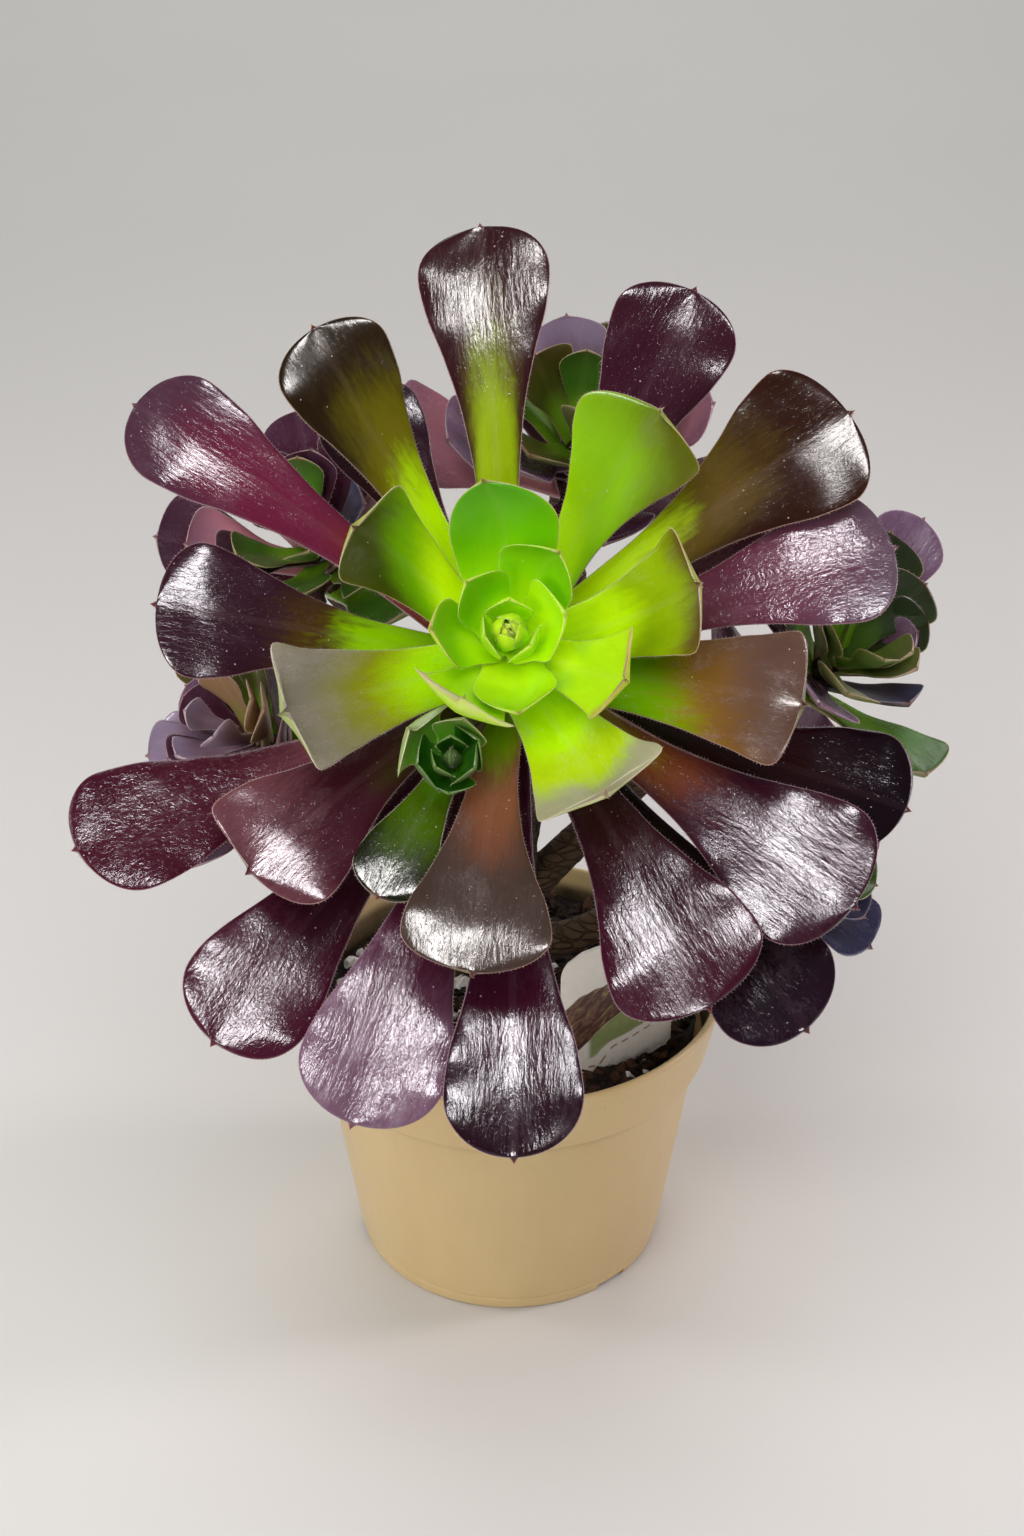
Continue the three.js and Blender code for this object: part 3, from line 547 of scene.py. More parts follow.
class Blades:  # gathers leaves of one head into one mesh
    def __init__(self, head, detail):
        self.axes, self.at = headMatrix(head)
        self.detail = detail
        self.points, self.faces, self.edges, self.count = [], [], [], 0
        self.layers = {name: [] for name in leafLayers}
        self.random = random.Random(detail["seed"] + int(sum(head["at"]) * 10))

    def stations(self, length, width, outline, fine):  # rings as shares of the length, and the half-width at each
        detail = self.detail
        shoulder = outline["stops"][-1][0]
        spike = min(detail["spike"], 0.04 * width + 0.2)
        spikeHalf = min(detail["spikeHalf"], 0.032 * width)
        endAt = 1 - spike / length
        steps = max(8, int(detail["steps"] * fine))
        endSteps = max(6, int(detail["endSteps"] * fine))
        along = np.concatenate([
            np.linspace(0, shoulder, steps, endpoint=False),
            shoulder + (endAt - shoulder) * (1 - (1 - np.linspace(0, 1, endSteps)) ** 2),
            endAt + (1 - endAt) * np.array([0.25, 0.5, 0.75, 0.93]),
        ])
        inside = through(outline["stops"], np.minimum(along, shoulder))
        beyond = np.clip((along - shoulder) / (endAt - shoulder), 0, 1)
        half = inside * (1 - beyond ** 2) ** outline["round"] * width / 2
        return along, np.maximum(half, spikeHalf * np.clip((1 - along) / (1 - endAt), 0, 1) ** 1.3)

    def waves(self, s, q, length, width):  # slow waves, wavy edges and the fold near the tip
        detail = self.detail
        phase = [self.random.uniform(0, 6.283) for _ in range(6)]
        size = min(1.0, width / 30)
        far = np.clip((s - 0.5) / 0.4, 0, 1)
        swell = detail["swell"] * size * far * (
            np.sin(length * s * 0.34 + 2.2 * q + phase[0]) + 0.8 * np.sin(length * s * 0.2 - 3.1 * q + phase[1])
            + 0.5 * np.sin(length * s * 0.62 + 4.5 * q + phase[2]))
        edge = detail["ripple"] * size * np.abs(q) ** 3 * far
        ripple = edge * np.sin(length * s * 0.42 + phase[3] + np.sign(q) * phase[4])
        fold = -detail["fold"] * size * np.exp(-(q / 0.3) ** 2) * np.clip((s - 0.6) / 0.4, 0, 1)
        return swell, ripple, fold

    def add(self, row, root=(0, 0, 0), fine=1.0):
        clock, reach, lift, depth, width, bow, cup, drop, shape = row[:9]
        mine = ownForm | (row[17] if len(row) > 17 else {})
        start = np.array([self.detail["rootRadius"], -depth])
        end = np.array([reach, lift])
        chord = end - start
        length = float(np.hypot(*chord))
        bend = (start + end) / 2 + 2 * bow * np.array([-chord[1], chord[0]]) / length
        along, half = self.stations(length, width, outlines[shape], fine)

        sides = max(8, int(self.detail["sides"] * fine))
        sweep = np.linspace(-math.pi / 2, math.pi / 2, sides + 1)
        angles = np.concatenate([sweep, sweep[-2:0:-1]])[None, :]
        upper = (np.concatenate([np.ones(sides + 1), -np.ones(sides - 1)]) > 0)[None, :]
        s, q, h = along[:, None], np.sin(angles), half[:, None]  # along, across from -1 to 1, half-width
        thick = self.detail["thickness"][0] + self.detail["thickness"][1] * length
        body = np.minimum(thick * (1.15 - 0.6 * s), 1.7 * h)
        skin = np.where(upper, 0.45, -0.55) * body * np.cos(angles)
        swell, ripple, fold = self.waves(s, q, length, width)
        steer = mine["roll"] * np.clip(s / 0.4, 0, 1) ** 2 + mine["twist"] * (s - 0.6)
        raised = cup * h * np.abs(q) ** 1.5 + skin + swell + ripple + fold + steer * q * h
        raised = skin + (raised - skin) * np.clip((1 - s) / 0.02, 0, 1)

        low, high = np.clip(-q * h / (width / 2), 0, 1), np.clip(q * h / (width / 2), 0, 1)
        drawn = (mine["horn"][0] * low ** 3 + mine["horn"][1] * high ** 3) / length * np.clip((s - 0.6) / 0.4, 0, 1)
        curl = mine["curl"][0] * (1 - low) * (1 - high) + mine["curl"][1] * low + mine["curl"][2] * high
        curl = np.radians(curl) * np.clip((s - mine["from"]) / (1 - mine["from"]), 0, 1) ** 1.4
        p, t = bentLine(start, bend, end, s + drawn, curl)
        fall = drop * np.maximum(0, (s - 0.8) / 0.2) ** 2
        away = p[..., 0] - t[..., 1] * raised
        height = p[..., 1] + t[..., 0] * raised - fall

        turn = math.radians(clock)
        out = np.array([math.cos(turn), math.sin(turn)])
        side = np.array([-out[1], out[0]])
        sway = self.random.uniform(-0.02, 0.02) * length * np.clip(s, 0, 1) ** 2 * (1 - np.clip(s, 0, 1)) * 2
        slide = mine["slide"] * 6.75 * np.clip(s, 0, 1) ** 2 * (1 - np.clip(s, 0, 1))  # 6.75 brings its peak to 1
        offset = q * h + sway + slide
        local = np.stack([
            out[0] * away + side[0] * offset + root[0],
            out[1] * away + side[1] * offset + root[1],
            height + root[2],
        ], axis=-1)
        tipAt = p[-1, sides // 2] + t[-1, sides // 2] * (1 - along[-1]) * length - [0, drop]
        tip = np.array([[out[0] * tipAt[0] + root[0], out[1] * tipAt[0] + root[1], tipAt[1] + root[2]]])
        self.weave(len(along), 2 * sides)
        self.points.append(self.placed(np.concatenate([local.reshape(-1, 3), tip])))
        self.count += len(self.points[-1])
        self.paint(row[9:17], mine, length, s, q, h, upper)

        first = int(len(along) * 0.22)  # hairs leave the narrow root bare
        self.edges.append(self.placed(np.concatenate([local[first:, 0], tip, local[first:, sides][::-1]])))

    def placed(self, points):  # from the head's own frame to the plant's
        return (points @ self.axes + self.at) * mm

    def weave(self, rings, ring):  # quads between the rings, a fan at the tip, one face at the root
        index = np.arange(rings * ring).reshape(rings, ring) + self.count
        a, b = index[:-1], index[1:]
        quads = np.stack([a, b, np.roll(b, -1, 1), np.roll(a, -1, 1)], axis=-1).reshape(-1, 4)
        self.faces += quads.tolist()
        last = index[-1]
        pole = self.count + rings * ring
        self.faces += [[int(last[j]), pole, int(last[(j + 1) % ring])] for j in range(ring)]
        self.faces.append([int(v) for v in index[0]])

    def paint(self, look, mine, length, s, q, h, upper):  # what the leaf finish reads from each point
        base, middle, tip, rim, firstTurn, secondTurn, soft, filmAndSheen = look
        count = len(self.points[-1])
        rows = np.ones_like(s)
        number = self.random.uniform(0, 90)
        self.keep("where", length * s * np.ones_like(q), q * h, number * np.ones_like(q) * rows)
        self.keep("form", s * np.ones_like(q), h * (1 - np.abs(q)), np.where(upper, 1.0, 0.0) * rows)
        tint = self.random.uniform(-0.02, 0.02)
        self.same("turns", [firstTurn + tint, secondTurn + tint, soft], count)
        early = mine["early"] * q * q + mine["lean"] * q + self.random.uniform(-0.03, 0.03) * q
        # the waxy film also sets how much pale sheen is painted
        self.keep("skin", filmAndSheen * rows, early, mine["grain"] * rows)
        matt = mine["matt"] + mine["mattSide"] * q + mine["mattEdge"] * q * q
        matt = matt + mine["mattBase"] * np.clip((0.9 - s) / 0.3, 0, 1)
        self.keep("cover", np.clip(matt, -0.05, 0.4), mine["wind"] * rows, 0 * q)
        for name, code in (("hueBase", base), ("hueMid", middle), ("hueTip", tip), ("hueRim", rim)):
            self.same(name, colourOf(code), count)

    def keep(self, name, x, y, z):  # a value for each point; the tip takes its neighbour's
        grid = np.stack(np.broadcast_arrays(x, y, z), axis=-1).reshape(-1, 3)
        self.layers[name].append(np.concatenate([grid, grid[-1:]]))

    def same(self, name, value, count):
        self.layers[name].append(np.tile(np.array(value, float), (count, 1)))

    def piece(self, name, slot):
        kinds = {key: "FLOAT_COLOR" if key.startswith("hue") else "FLOAT_VECTOR" for key in self.layers}
        attributes = {key: (kinds[key], np.concatenate(values)) for key, values in self.layers.items()}
        points = np.concatenate(self.points)
        return meshPiece(name, points.tolist(), self.faces, [leafMaterials[slot]], attributes)


# Hairs along the leaf edges.
edgeHairs = {
    "spacing": 0.9, "length": 0.55, "radius": 0.06, "spread": 0.45, "seed": 11,
    "smallShare": 0.6,  # how many of them small leaves have
    "colour": "#d8c4c0", "shade": "#a07c7c",
}


def hairFinish():
    paint = Finish("edgeHair")
    spot = paint.place()
    cloud = paint.noise(spot, 320.0, 2.0)
    colour = paint.blend(cloud, edgeHairs["colour"], edgeHairs["shade"])
    return paint.close({"Base Color": colour, "Roughness": 0.4 + cloud * 0.2})


hairMaterial = hairFinish()


def meshNodes(name, inputs):  # a node group that takes these inputs and gives a mesh
    tree = bpy.data.node_groups.new(name, "GeometryNodeTree")
    for key, (kind, value) in inputs.items():
        socket = tree.interface.new_socket(key, in_out="INPUT", socket_type="NodeSocket" + kind)
        if value is not None:
            socket.default_value = value
    tree.interface.new_socket("Mesh", in_out="OUTPUT", socket_type="NodeSocketGeometry")
    return tree


def hairTree():
    tree = meshNodes("edgeHairs", {
        "Roots": ("Geometry", None), "Spread": ("Float", edgeHairs["spread"]), "Seed": ("Int", edgeHairs["seed"]),
        "Hair length": ("Float", edgeHairs["length"] * mm), "Hair radius": ("Float", edgeHairs["radius"] * mm),
    })
    maker = NodeMaker(tree)
    given = maker.node("NodeGroupInput", {}, {}, "Roots")
    cone = maker.node("GeometryNodeMeshCone", {"fill_type": "NONE"}, {
        "Vertices": 3, "Side Segments": 1, "Radius Top": 0.0, "Radius Bottom": given.other("Hair radius"),
        "Depth": given.other("Hair length"),
    }, "Mesh")
    outward = maker.node("GeometryNodeInputNamedAttribute", {"data_type": "FLOAT_VECTOR"}, {"Name": "outward"},
                         "Attribute")
    swing = maker.node("FunctionNodeRandomValue", {"data_type": "FLOAT_VECTOR"}, {
        "Min": (-1, -1, -1), "Max": (1, 1, 1), "Seed": given.other("Seed"),
    }, 0)
    swing = maker.node("ShaderNodeVectorMath", {"operation": "SCALE"}, {0: swing, "Scale": given.other("Spread")})
    aim = maker.node("ShaderNodeVectorMath", {"operation": "ADD"}, {0: outward, 1: swing})
    turn = maker.node("FunctionNodeAlignRotationToVector", {"axis": "Z"}, {"Vector": aim})
    size = maker.node("FunctionNodeRandomValue", {"data_type": "FLOAT"}, {
        2: 0.5, 3: 1.15, "Seed": given.other("Seed"),
    }, 1)
    placed = maker.node("GeometryNodeInstanceOnPoints", {}, {
        "Points": given, "Instance": cone, "Rotation": turn, "Scale": size,
    })
    real = maker.node("GeometryNodeRealizeInstances", {}, {0: placed})
    done = maker.node("GeometryNodeSetMaterial", {}, {"Geometry": real, "Material": hairMaterial})
    maker.node("NodeGroupOutput", {}, {0: done})
    return tree


hairNodes = hairTree()


def hairsAlong(name, loops, slot, share=1.0):  # hairs that point away from each leaf's own middle
    roots, outward = [], []
    for loop in loops:
        centre = loop.mean(0)
        step = np.linalg.norm(np.diff(loop, axis=0), axis=1)
        walked = np.concatenate([[0], np.cumsum(step)])
        count = int(walked[-1] / (edgeHairs["spacing"] * mm / share))
        at = np.linspace(0, walked[-1], count)
        spots = np.stack([np.interp(at, walked, loop[:, i]) for i in range(3)], axis=-1)
        tangent = np.gradient(spots, axis=0)
        tangent /= np.linalg.norm(tangent, axis=1)[:, None] + 1e-12
        away = spots - centre
        away -= (away * tangent).sum(1)[:, None] * tangent
        away /= np.linalg.norm(away, axis=1)[:, None] + 1e-12
        roots.append(spots)
        outward.append(away)
    outward = np.concatenate(outward)
    hairs = meshPiece(name, np.concatenate(roots).tolist(), [], [], {"outward": ("FLOAT_VECTOR", outward)})
    modifier = hairs.modifiers.new("hairs", "NODES")
    modifier.node_group = hairNodes
    settle(baked(hairs), slot)


def sproutOn(blades):
    turn = math.radians(sprout["clock"])
    root = (math.cos(turn) * sprout["out"], math.sin(turn) * sprout["out"], sprout["lift"])
    for row in sprout["leaves"]:
        blades.add(row, root, bladeDetail["sproutFineness"])


for nodeName, whorl in mainLeaves.items():
    blades = Blades(heads["main"], bladeDetail)
    for row in whorl["leaves"]:
        blades.add(row, fine=next(share for least, share in bladeDetail["fineness"] if row[4] > least))
    if nodeName == "main_inner":
        sproutOn(blades)
    settle(blades.piece(nodeName + "_leaves", whorl["slot"]), whorl["slot"], nodeName)
    share = edgeHairs["smallShare"] if nodeName == "main_heart" else 1.0
    hairsAlong(nodeName + "_hairs", blades.edges, whorl["slot"], share)
print("large rosette made")


def sideRow(head, i, fill=False):  # a fill leaf stands between the others
    k = i / (sideRosette["leaves"] - 1)
    looks = head["fill" if fill else "looks"].split()
    clock = head["start"] + sideRosette["goldenAngle"] * i
    if fill:
        low, high = sideRosette["fill"]
        k = low + (high - low) * i / (len(looks) - 1)
        clock += sideRosette["fillClock"]
    turn, longer, wider = head["moved"].get(("fill" if fill else "leaf") + str(i), (0, 1, 1))
    out = (head["reach"][0] + (head["reach"][1] - head["reach"][0]) * k ** 0.9) * longer
    lift = head["lift"][0] + (head["lift"][1] - head["lift"][0]) * k
    depth = 4 + (head["depth"] - 4) * k + (0 if i < sideRosette["heartLeaves"] else 2.5)
    width = (sideRosette["width"][0] + sideRosette["width"][1] * out) * wider
    return (clock + turn, out, lift, depth, width, -1.6 + 2.6 * k, 0.35 - 0.15 * k, 0, sideRosette["outline"],
            *sideLooks[looks[i]])


for headName, head in sideHeads.items():
    rows = [sideRow(head, i) for i in range(sideRosette["leaves"])]
    between = [sideRow(head, i, True) for i in range(len(head["fill"].split()))]
    split = sideRosette["heartLeaves"]
    for part, slot, chosen in (("heart", "side_green", rows[:split] + between), ("whorl", "side_purple", rows[split:])):
        blades = Blades(heads[headName], bladeDetail)
        for row in chosen:
            blades.add(row, fine=bladeDetail["sideFineness"])
        name = headName + "_" + part
        settle(blades.piece(name + "_leaves", slot), slot, name)
        hairsAlong(name + "_hairs", blades.edges, slot, edgeHairs["smallShare"])
print("side rosettes made")


# Stem and branches: points that each passes, radius from its foot to its end, and depth of the core it carries.
stemLines = {
    "trunk": {"points": [(0, 8, 35.6), (0, 8, 62), (0, 8, 92), (0, 8, 122), (0, 0, 158)], "radius": (8.6, 6.5)},
    "back": {"points": [(0, 8, 112), (7, 22, 140), (17, 33, 178)], "radius": (5.2, 4), "depth": 30},
    "right": {"points": [(0, 8, 103), (20, 14, 122), (43, 9, 150)], "radius": (5, 4), "depth": 28},
    "upperLeft": {"points": [(0, 7, 118), (-13, 13, 142), (-24, 18, 166)], "radius": (5, 4), "depth": 28},
    "lowerLeft": {"points": [(0, 8, 96), (-20, 6, 106), (-38, 1, 126)], "radius": (4.8, 4), "depth": 26},
    "lowerRight": {"points": [(0, 8, 88), (20, 9, 93), (38, 9, 105)], "radius": (4.8, 4), "depth": 26},
}
stemBark = {
    "sides": 26, "step": 1.1, "scarGap": 4.6, "scarDepth": 0.35,
    "swell": (1.6, 9),  # how much thicker a branch is where it leaves the trunk, and over what length
    "light": "#584432", "dark": "#34281c", "fibre": "#6e5a46", "crack": "#2a2018",
}
rosetteCore = {
    "main": (61, 18), "side": (5, 9),  # how deep it starts, for a side rosette beyond its leaves, and ends
    "rings": 40, "sides": 22, "taper": 0.35,
}


def barkFinish():
    paint = Finish("stemBark")
    spot = paint.place()
    place = paint.parts(spot)
    stretched = paint.join(place * 900, place.other("Y") * 900, place.other("Z") * 260)
    fibre = paint.noise(stretched, 1.0, 5.0, 0.65)
    cloud = paint.noise(spot, 70.0, 3.0)
    cracks = paint.node("ShaderNodeTexVoronoi", {"feature": "DISTANCE_TO_EDGE"}, {
        "Vector": paint.join(place * 210, place.other("Y") * 210, place.other("Z") * 520), "Scale": 1.0,
    })
    crack = 1 - paint.ease(cracks, 0.0, 0.14)
    colour = paint.blend(cloud, stemBark["light"], stemBark["dark"])
    colour = paint.blend(fibre * 0.5, colour, stemBark["fibre"])
    colour = paint.blend(crack * 0.6, colour, stemBark["crack"])
    return paint.close({
        "Base Color": colour, "Roughness": 0.72 + fibre * 0.2,
        "Normal": paint.bump(fibre * 0.5 + (1 - crack), 0.0006), "Specular IOR Level": 0.3,
    })


barkMaterial = barkFinish()


def curveThrough(points, count):  # centripetal line through points, as the solid stem follows
    p = [np.array(q, float) for q in points]
    p = [2 * p[0] - p[1]] + p + [2 * p[-1] - p[-2]]
    spans = len(points) - 1
    found = []
    for i in range(count + 1):
        whole = min(int(i / count * spans), spans - 1)
        t = i / count * spans - whole
        a, b, c, d = p[whole:whole + 4]
        gaps = [max(np.linalg.norm(v - u) ** 0.5, 1e-4) for u, v in ((a, b), (b, c), (c, d))]
        tb = (b - a) / gaps[0] - (c - a) / (gaps[0] + gaps[1]) + (c - b) / gaps[1]
        tc = (c - b) / gaps[1] - (d - b) / (gaps[1] + gaps[2]) + (d - c) / gaps[2]
        tb, tc = tb * gaps[1], tc * gaps[1]
        found.append(b + tb * t + (-3 * b + 3 * c - 2 * tb - tc) * t * t + (2 * b - 2 * c + tb + tc) * t ** 3)
    return np.array(found)


def tubeInto(points, faces, line, radii, sides):  # a closed limb with rings of leaf scars
    tangent = np.gradient(line, axis=0)
    tangent /= np.linalg.norm(tangent, axis=1)[:, None]
    walked = np.concatenate([[0], np.cumsum(np.linalg.norm(np.diff(line, axis=0), axis=1))])
    base = len(points)
    for i, (spot, along) in enumerate(zip(line, tangent)):
        side = np.cross([0, 1, 0], along)
        side /= np.linalg.norm(side)
        up = np.cross(along, side)
        for j in range(sides):
            angle = 2 * math.pi * j / sides
            rise = walked[i] + stemBark["scarGap"] * angle / (2 * math.pi)
            ridge = math.cos(2 * math.pi * rise / stemBark["scarGap"]) * (0.6 + 0.4 * math.cos(3 * angle + i * 0.7))
            wander = math.sin(2.3 * angle + 0.31 * walked[i]) + math.sin(3.7 * angle - 0.23 * walked[i] + 1)
            radius = radii[i] * (1 + 0.02 * wander) + stemBark["scarDepth"] * max(0, ridge) ** 2 * 0.8 - 0.15
            points.append(tuple((spot + radius * (side * math.cos(angle) + up * math.sin(angle))) * mm))
    for i in range(len(line) - 1):
        low, high = base + i * sides, base + (i + 1) * sides
        for j in range(sides):
            k = (j + 1) % sides
            faces.append((low + j, low + k, high + k, high + j))
    faces.append(tuple(base + j for j in range(sides))[::-1])
    faces.append(tuple(base + (len(line) - 1) * sides + j for j in range(sides)))


def makeStem():
    points, faces = [], []
    for name, branch in stemLines.items():
        if name == "trunk":
            stops = branch["points"] + [below(heads["main"], 74), below(heads["main"], 61.3)]
        else:
            stops = branch["points"] + [below(heads[name], branch["depth"] + extra) for extra in (16, 5.3)]
        length = sum(np.linalg.norm(np.subtract(b, a)) for a, b in zip(stops, stops[1:]))
        count = int(length / stemBark["step"])
        thick, thin = branch["radius"]
        radii = np.linspace(thick, thin, count + 1)
        if name != "trunk":
            more, over = stemBark["swell"]
            radii = radii + more * np.exp(-np.linspace(0, length, count + 1) / over)
        tubeInto(points, faces, curveThrough(stops, count), radii, stemBark["sides"])
    settle(meshPiece("branchedStem", points, faces, [barkMaterial]), "stem_bark", "stem")


makeStem()


def makeCores():  # the short growing stem inside each rosette, between its leaf bases
    points, faces = [], []
    rings = rosetteCore["rings"]
    for name, head in heads.items():
        depth, top = rosetteCore["main" if name == "main" else "side"]
        if name != "main":
            depth += sideHeads[name]["depth"]
        line = np.array([below(head, d) for d in np.linspace(depth + 1.5, top, rings)])
        radii = head["core"] * (1 - rosetteCore["taper"] * np.linspace(0, 1, rings) ** 2)
        tubeInto(points, faces, line, radii, rosetteCore["sides"])
    turn = math.radians(sprout["clock"])  # the sprout's stalk
    out = np.array([math.cos(turn), math.sin(turn), 0])
    axes, at = headMatrix(heads["main"])
    stops = [out * 5 + [0, 0, -21], out * 20 + [0, 0, -14], out * sprout["out"] + [0, 0, sprout["lift"] - 7],
             out * sprout["out"] + [0, 0, sprout["lift"] - 3]]
    stops = [s @ axes + at for s in stops]
    tubeInto(points, faces, curveThrough(stops, 16), np.linspace(3, sprout["stub"], 17), 12)
    settle(meshPiece("rosetteCores", points, faces, [barkMaterial]), "stem_bark")


makeCores()
print("stem made")


# Pot: a moulded plastic nursery pot, in millimetres; rim, bandFoot, bodyTop, bodyFoot, pad and drain are radii.
pot = {
    "height": 85, "rim": 60, "band": 19, "bandFoot": 56.2, "bodyTop": 53.4, "bodyFoot": 43.3, "wall": 1.7,
    "foot": 3, "pad": 9, "drain": 3.5, "drains": 6, "drainCircle": 28, "notch": 10.5, "notchDepth": 2.2,
    "footRing": 42, "notches": (-48, 72, 192), "segments": 168, "rounding": 0.7, "sharp": 32,
    "colour": "#d4b985", "shadow": "#c2a46c", "pale": "#dec69a", "scuff": "#8f7350",
    # the colour for the strip under the band is painted shade
    "bandShade": "#8a7048", "dust": "#4a3526", "inside": "#2a1d14",
}


def potFinish():  # heights in metres; the band's foot is at 0.066
    paint = Finish("potPlastic")
    spot = paint.place()
    place = paint.parts(spot)
    height = place.other("Z")
    flow = paint.noise(paint.join(place * 60, place.other("Y") * 60, height * 9), 1.0, 4.0, 0.6)
    cloud = paint.noise(spot, 22.0, 3.0)
    grain = paint.noise(spot, 2600.0, 2.0)
    orange = paint.noise(spot, 520.0, 3.0)
    colour = paint.blend(cloud, pot["colour"], pot["shadow"])
    colour = paint.blend(flow * 0.5, colour, pot["pale"])
    scuffs = paint.noise(paint.join(place * 420, place.other("Y") * 420, height * 1500), 1.0, 5.0, 0.7)
    scuff = paint.ease(scuffs, 0.66, 0.74)
    low = 1 - paint.ease(height, 0.0, 0.014)
    colour = paint.blend(scuff * (0.1 + low * 0.35), colour, pot["scuff"])
    # Painted shade: a darker strip just under the band, where the band's step would shade the body.
    bandShade = paint.ease(height, 0.0615, 0.0658) * (1 - paint.ease(height, 0.0662, 0.0668))  # painted shade just under the band
    colour = paint.blend(bandShade * (0.22 + cloud * 0.2), colour, pot["bandShade"])
    soilDust = paint.ease(paint.noise(spot, 900.0, 3.0), 0.68, 0.72) * paint.ease(height, 0.066, 0.084)
    colour = paint.blend(soilDust * 0.35, colour, pot["dust"])
    reach = (place * place + place.other("Y") * place.other("Y")) ** 0.5
    wallAt = 0.0562 + (height - 0.0668) * 0.229  # radius of the band's outer face at this height
    inner = paint.ease(wallAt - reach, 0.0008, 0.0012) * (1 - paint.ease(height + (cloud - 0.5) * 0.006, 0.078, 0.082))
    inner = inner * (height > 0.0674)
    colour = paint.blend(inner * (0.55 + flow * 0.5), colour, pot["inside"])
    rough = 0.36 + (cloud - 0.5) * 0.14 + scuff * 0.16 + (orange - 0.5) * 0.08
    return paint.close({
        "Base Color": colour, "Roughness": rough,
        "Normal": paint.bump(orange * 0.7 + grain * 0.15 + flow * 0.6, 0.00012),
        "Subsurface Weight": 0.12, "Subsurface Radius": (1.0, 0.8, 0.5), "Subsurface Scale": 0.002,
        "Specular IOR Level": 0.5,
    })


potMaterial = potFinish()


def rounded(profile, radius, steps=4):  # the profile with its corners eased
    made = []
    for i, corner in enumerate(profile):
        if i in (0, len(profile) - 1):
            made.append(corner)
            continue
        here = np.array(corner, float)
        before, after = np.array(profile[i - 1], float), np.array(profile[i + 1], float)
        inLength, outLength = np.linalg.norm(before - here), np.linalg.norm(after - here)
        reach = min(radius, inLength * 0.45, outLength * 0.45)
        a = here + (before - here) / inLength * reach
        b = here + (after - here) / outLength * reach
        for k in range(steps + 1):
            t = k / steps
            made.append(tuple((1 - t) ** 2 * a + 2 * t * (1 - t) * here + t * t * b))
    return made


def lathe(profile, segments):
    points, faces, rings = [], [], []
    for r, z in profile:
        if r < 1e-6:
            rings.append([len(points)])
            points.append((0, 0, z * mm))
        else:
            rings.append(list(range(len(points), len(points) + segments)))
            turns = [2 * math.pi * j / segments for j in range(segments)]
            points += [(r * mm * math.cos(a), r * mm * math.sin(a), z * mm) for a in turns]
    for low, high in zip(rings, rings[1:]):
        for j in range(segments):
            k = (j + 1) % segments
            corners = [low[j % len(low)], low[k % len(low)], high[k % len(high)], high[j % len(high)]]
            faces.append(tuple(dict.fromkeys(corners)))
    return points, faces


def potProfile(p):  # from under the pad, round the foot and up the outside, then down the inside
    floor, top = p["foot"] + p["wall"], p["height"] - p["band"]
    return [
        (0, 0), (p["pad"], 0), (p["pad"] + .6, p["foot"]), (39.2, p["foot"]), (39.8, 0), (p["bodyFoot"] - .7, 0),
        (p["bodyFoot"], .8), (p["bodyFoot"] + .5, 3.8), (p["bodyFoot"] + .2, 4.3), (p["bodyFoot"] + .9, 4.9),
        (p["bodyTop"], top), (p["bandFoot"] - .5, top + .1), (p["bandFoot"], top + .8),
        (p["rim"] - .5, p["height"] - 2.6), (p["rim"], p["height"] - 1.6), (p["rim"] - .2, p["height"] - .5),
        (p["rim"] - .9, p["height"]), (p["rim"] - 1.8, p["height"] - .2), (p["rim"] - 2.3, p["height"] - 1.2),
        (p["bandFoot"] - p["wall"], top + .9), (p["bodyTop"] - p["wall"] - .1, top - 1.6), (p["bodyFoot"] - 1, floor),
        (0, floor),
    ]


def cutter(name, points, faces, place, turn):
    tool = meshPiece(name, points, faces, [potMaterial])
    tool.data.transform(Matrix.Rotation(math.radians(turn), 4, "Z") @ Matrix.Translation(place))
    return tool


def makePot():
    points, faces = lathe(rounded(potProfile(pot), pot["rounding"]), pot["segments"])
    body = meshPiece("nurseryPot", points, faces, [potMaterial])
    tools = []
    w, d, h = 6 * mm, pot["notch"] / 2 * mm, pot["notchDepth"] * mm
    corners = [(x, y, z) for z in (-h, h) for y in (-d, d) for x in (-w, w)]
    sidesOfBox = [(0, 2, 3, 1), (4, 5, 7, 6), (0, 1, 5, 4), (2, 6, 7, 3), (0, 4, 6, 2), (1, 3, 7, 5)]
    for i, turn in enumerate(pot["notches"]):
        tools.append(cutter(f"notch{i}", corners, sidesOfBox, (pot["footRing"] * mm, 0, 0), turn))
    drainPoints, drainFaces = lathe([(0, -4), (pot["drain"], -4), (pot["drain"], 4), (0, 4)], 28)
    for i in range(pot["drains"]):
        turn = 360 / pot["drains"] * i + 12
        tools.append(cutter(f"drain{i}", drainPoints, drainFaces, (pot["drainCircle"] * mm, 0, 4.7 * mm), turn))
    for tool in tools:
        cut = body.modifiers.new(tool.name, "BOOLEAN")
        cut.operation = "DIFFERENCE"
        cut.solver = "EXACT"
        cut.object = tool
    baked(body)
    for tool in tools:
        bpy.data.objects.remove(tool)
    body.data.polygons.foreach_set("use_smooth", [True] * len(body.data.polygons))
    body.data.set_sharp_from_angle(angle=math.radians(pot["sharp"]))
    settle(body, "pot_plastic", "pot")


makePot()
print("pot made")


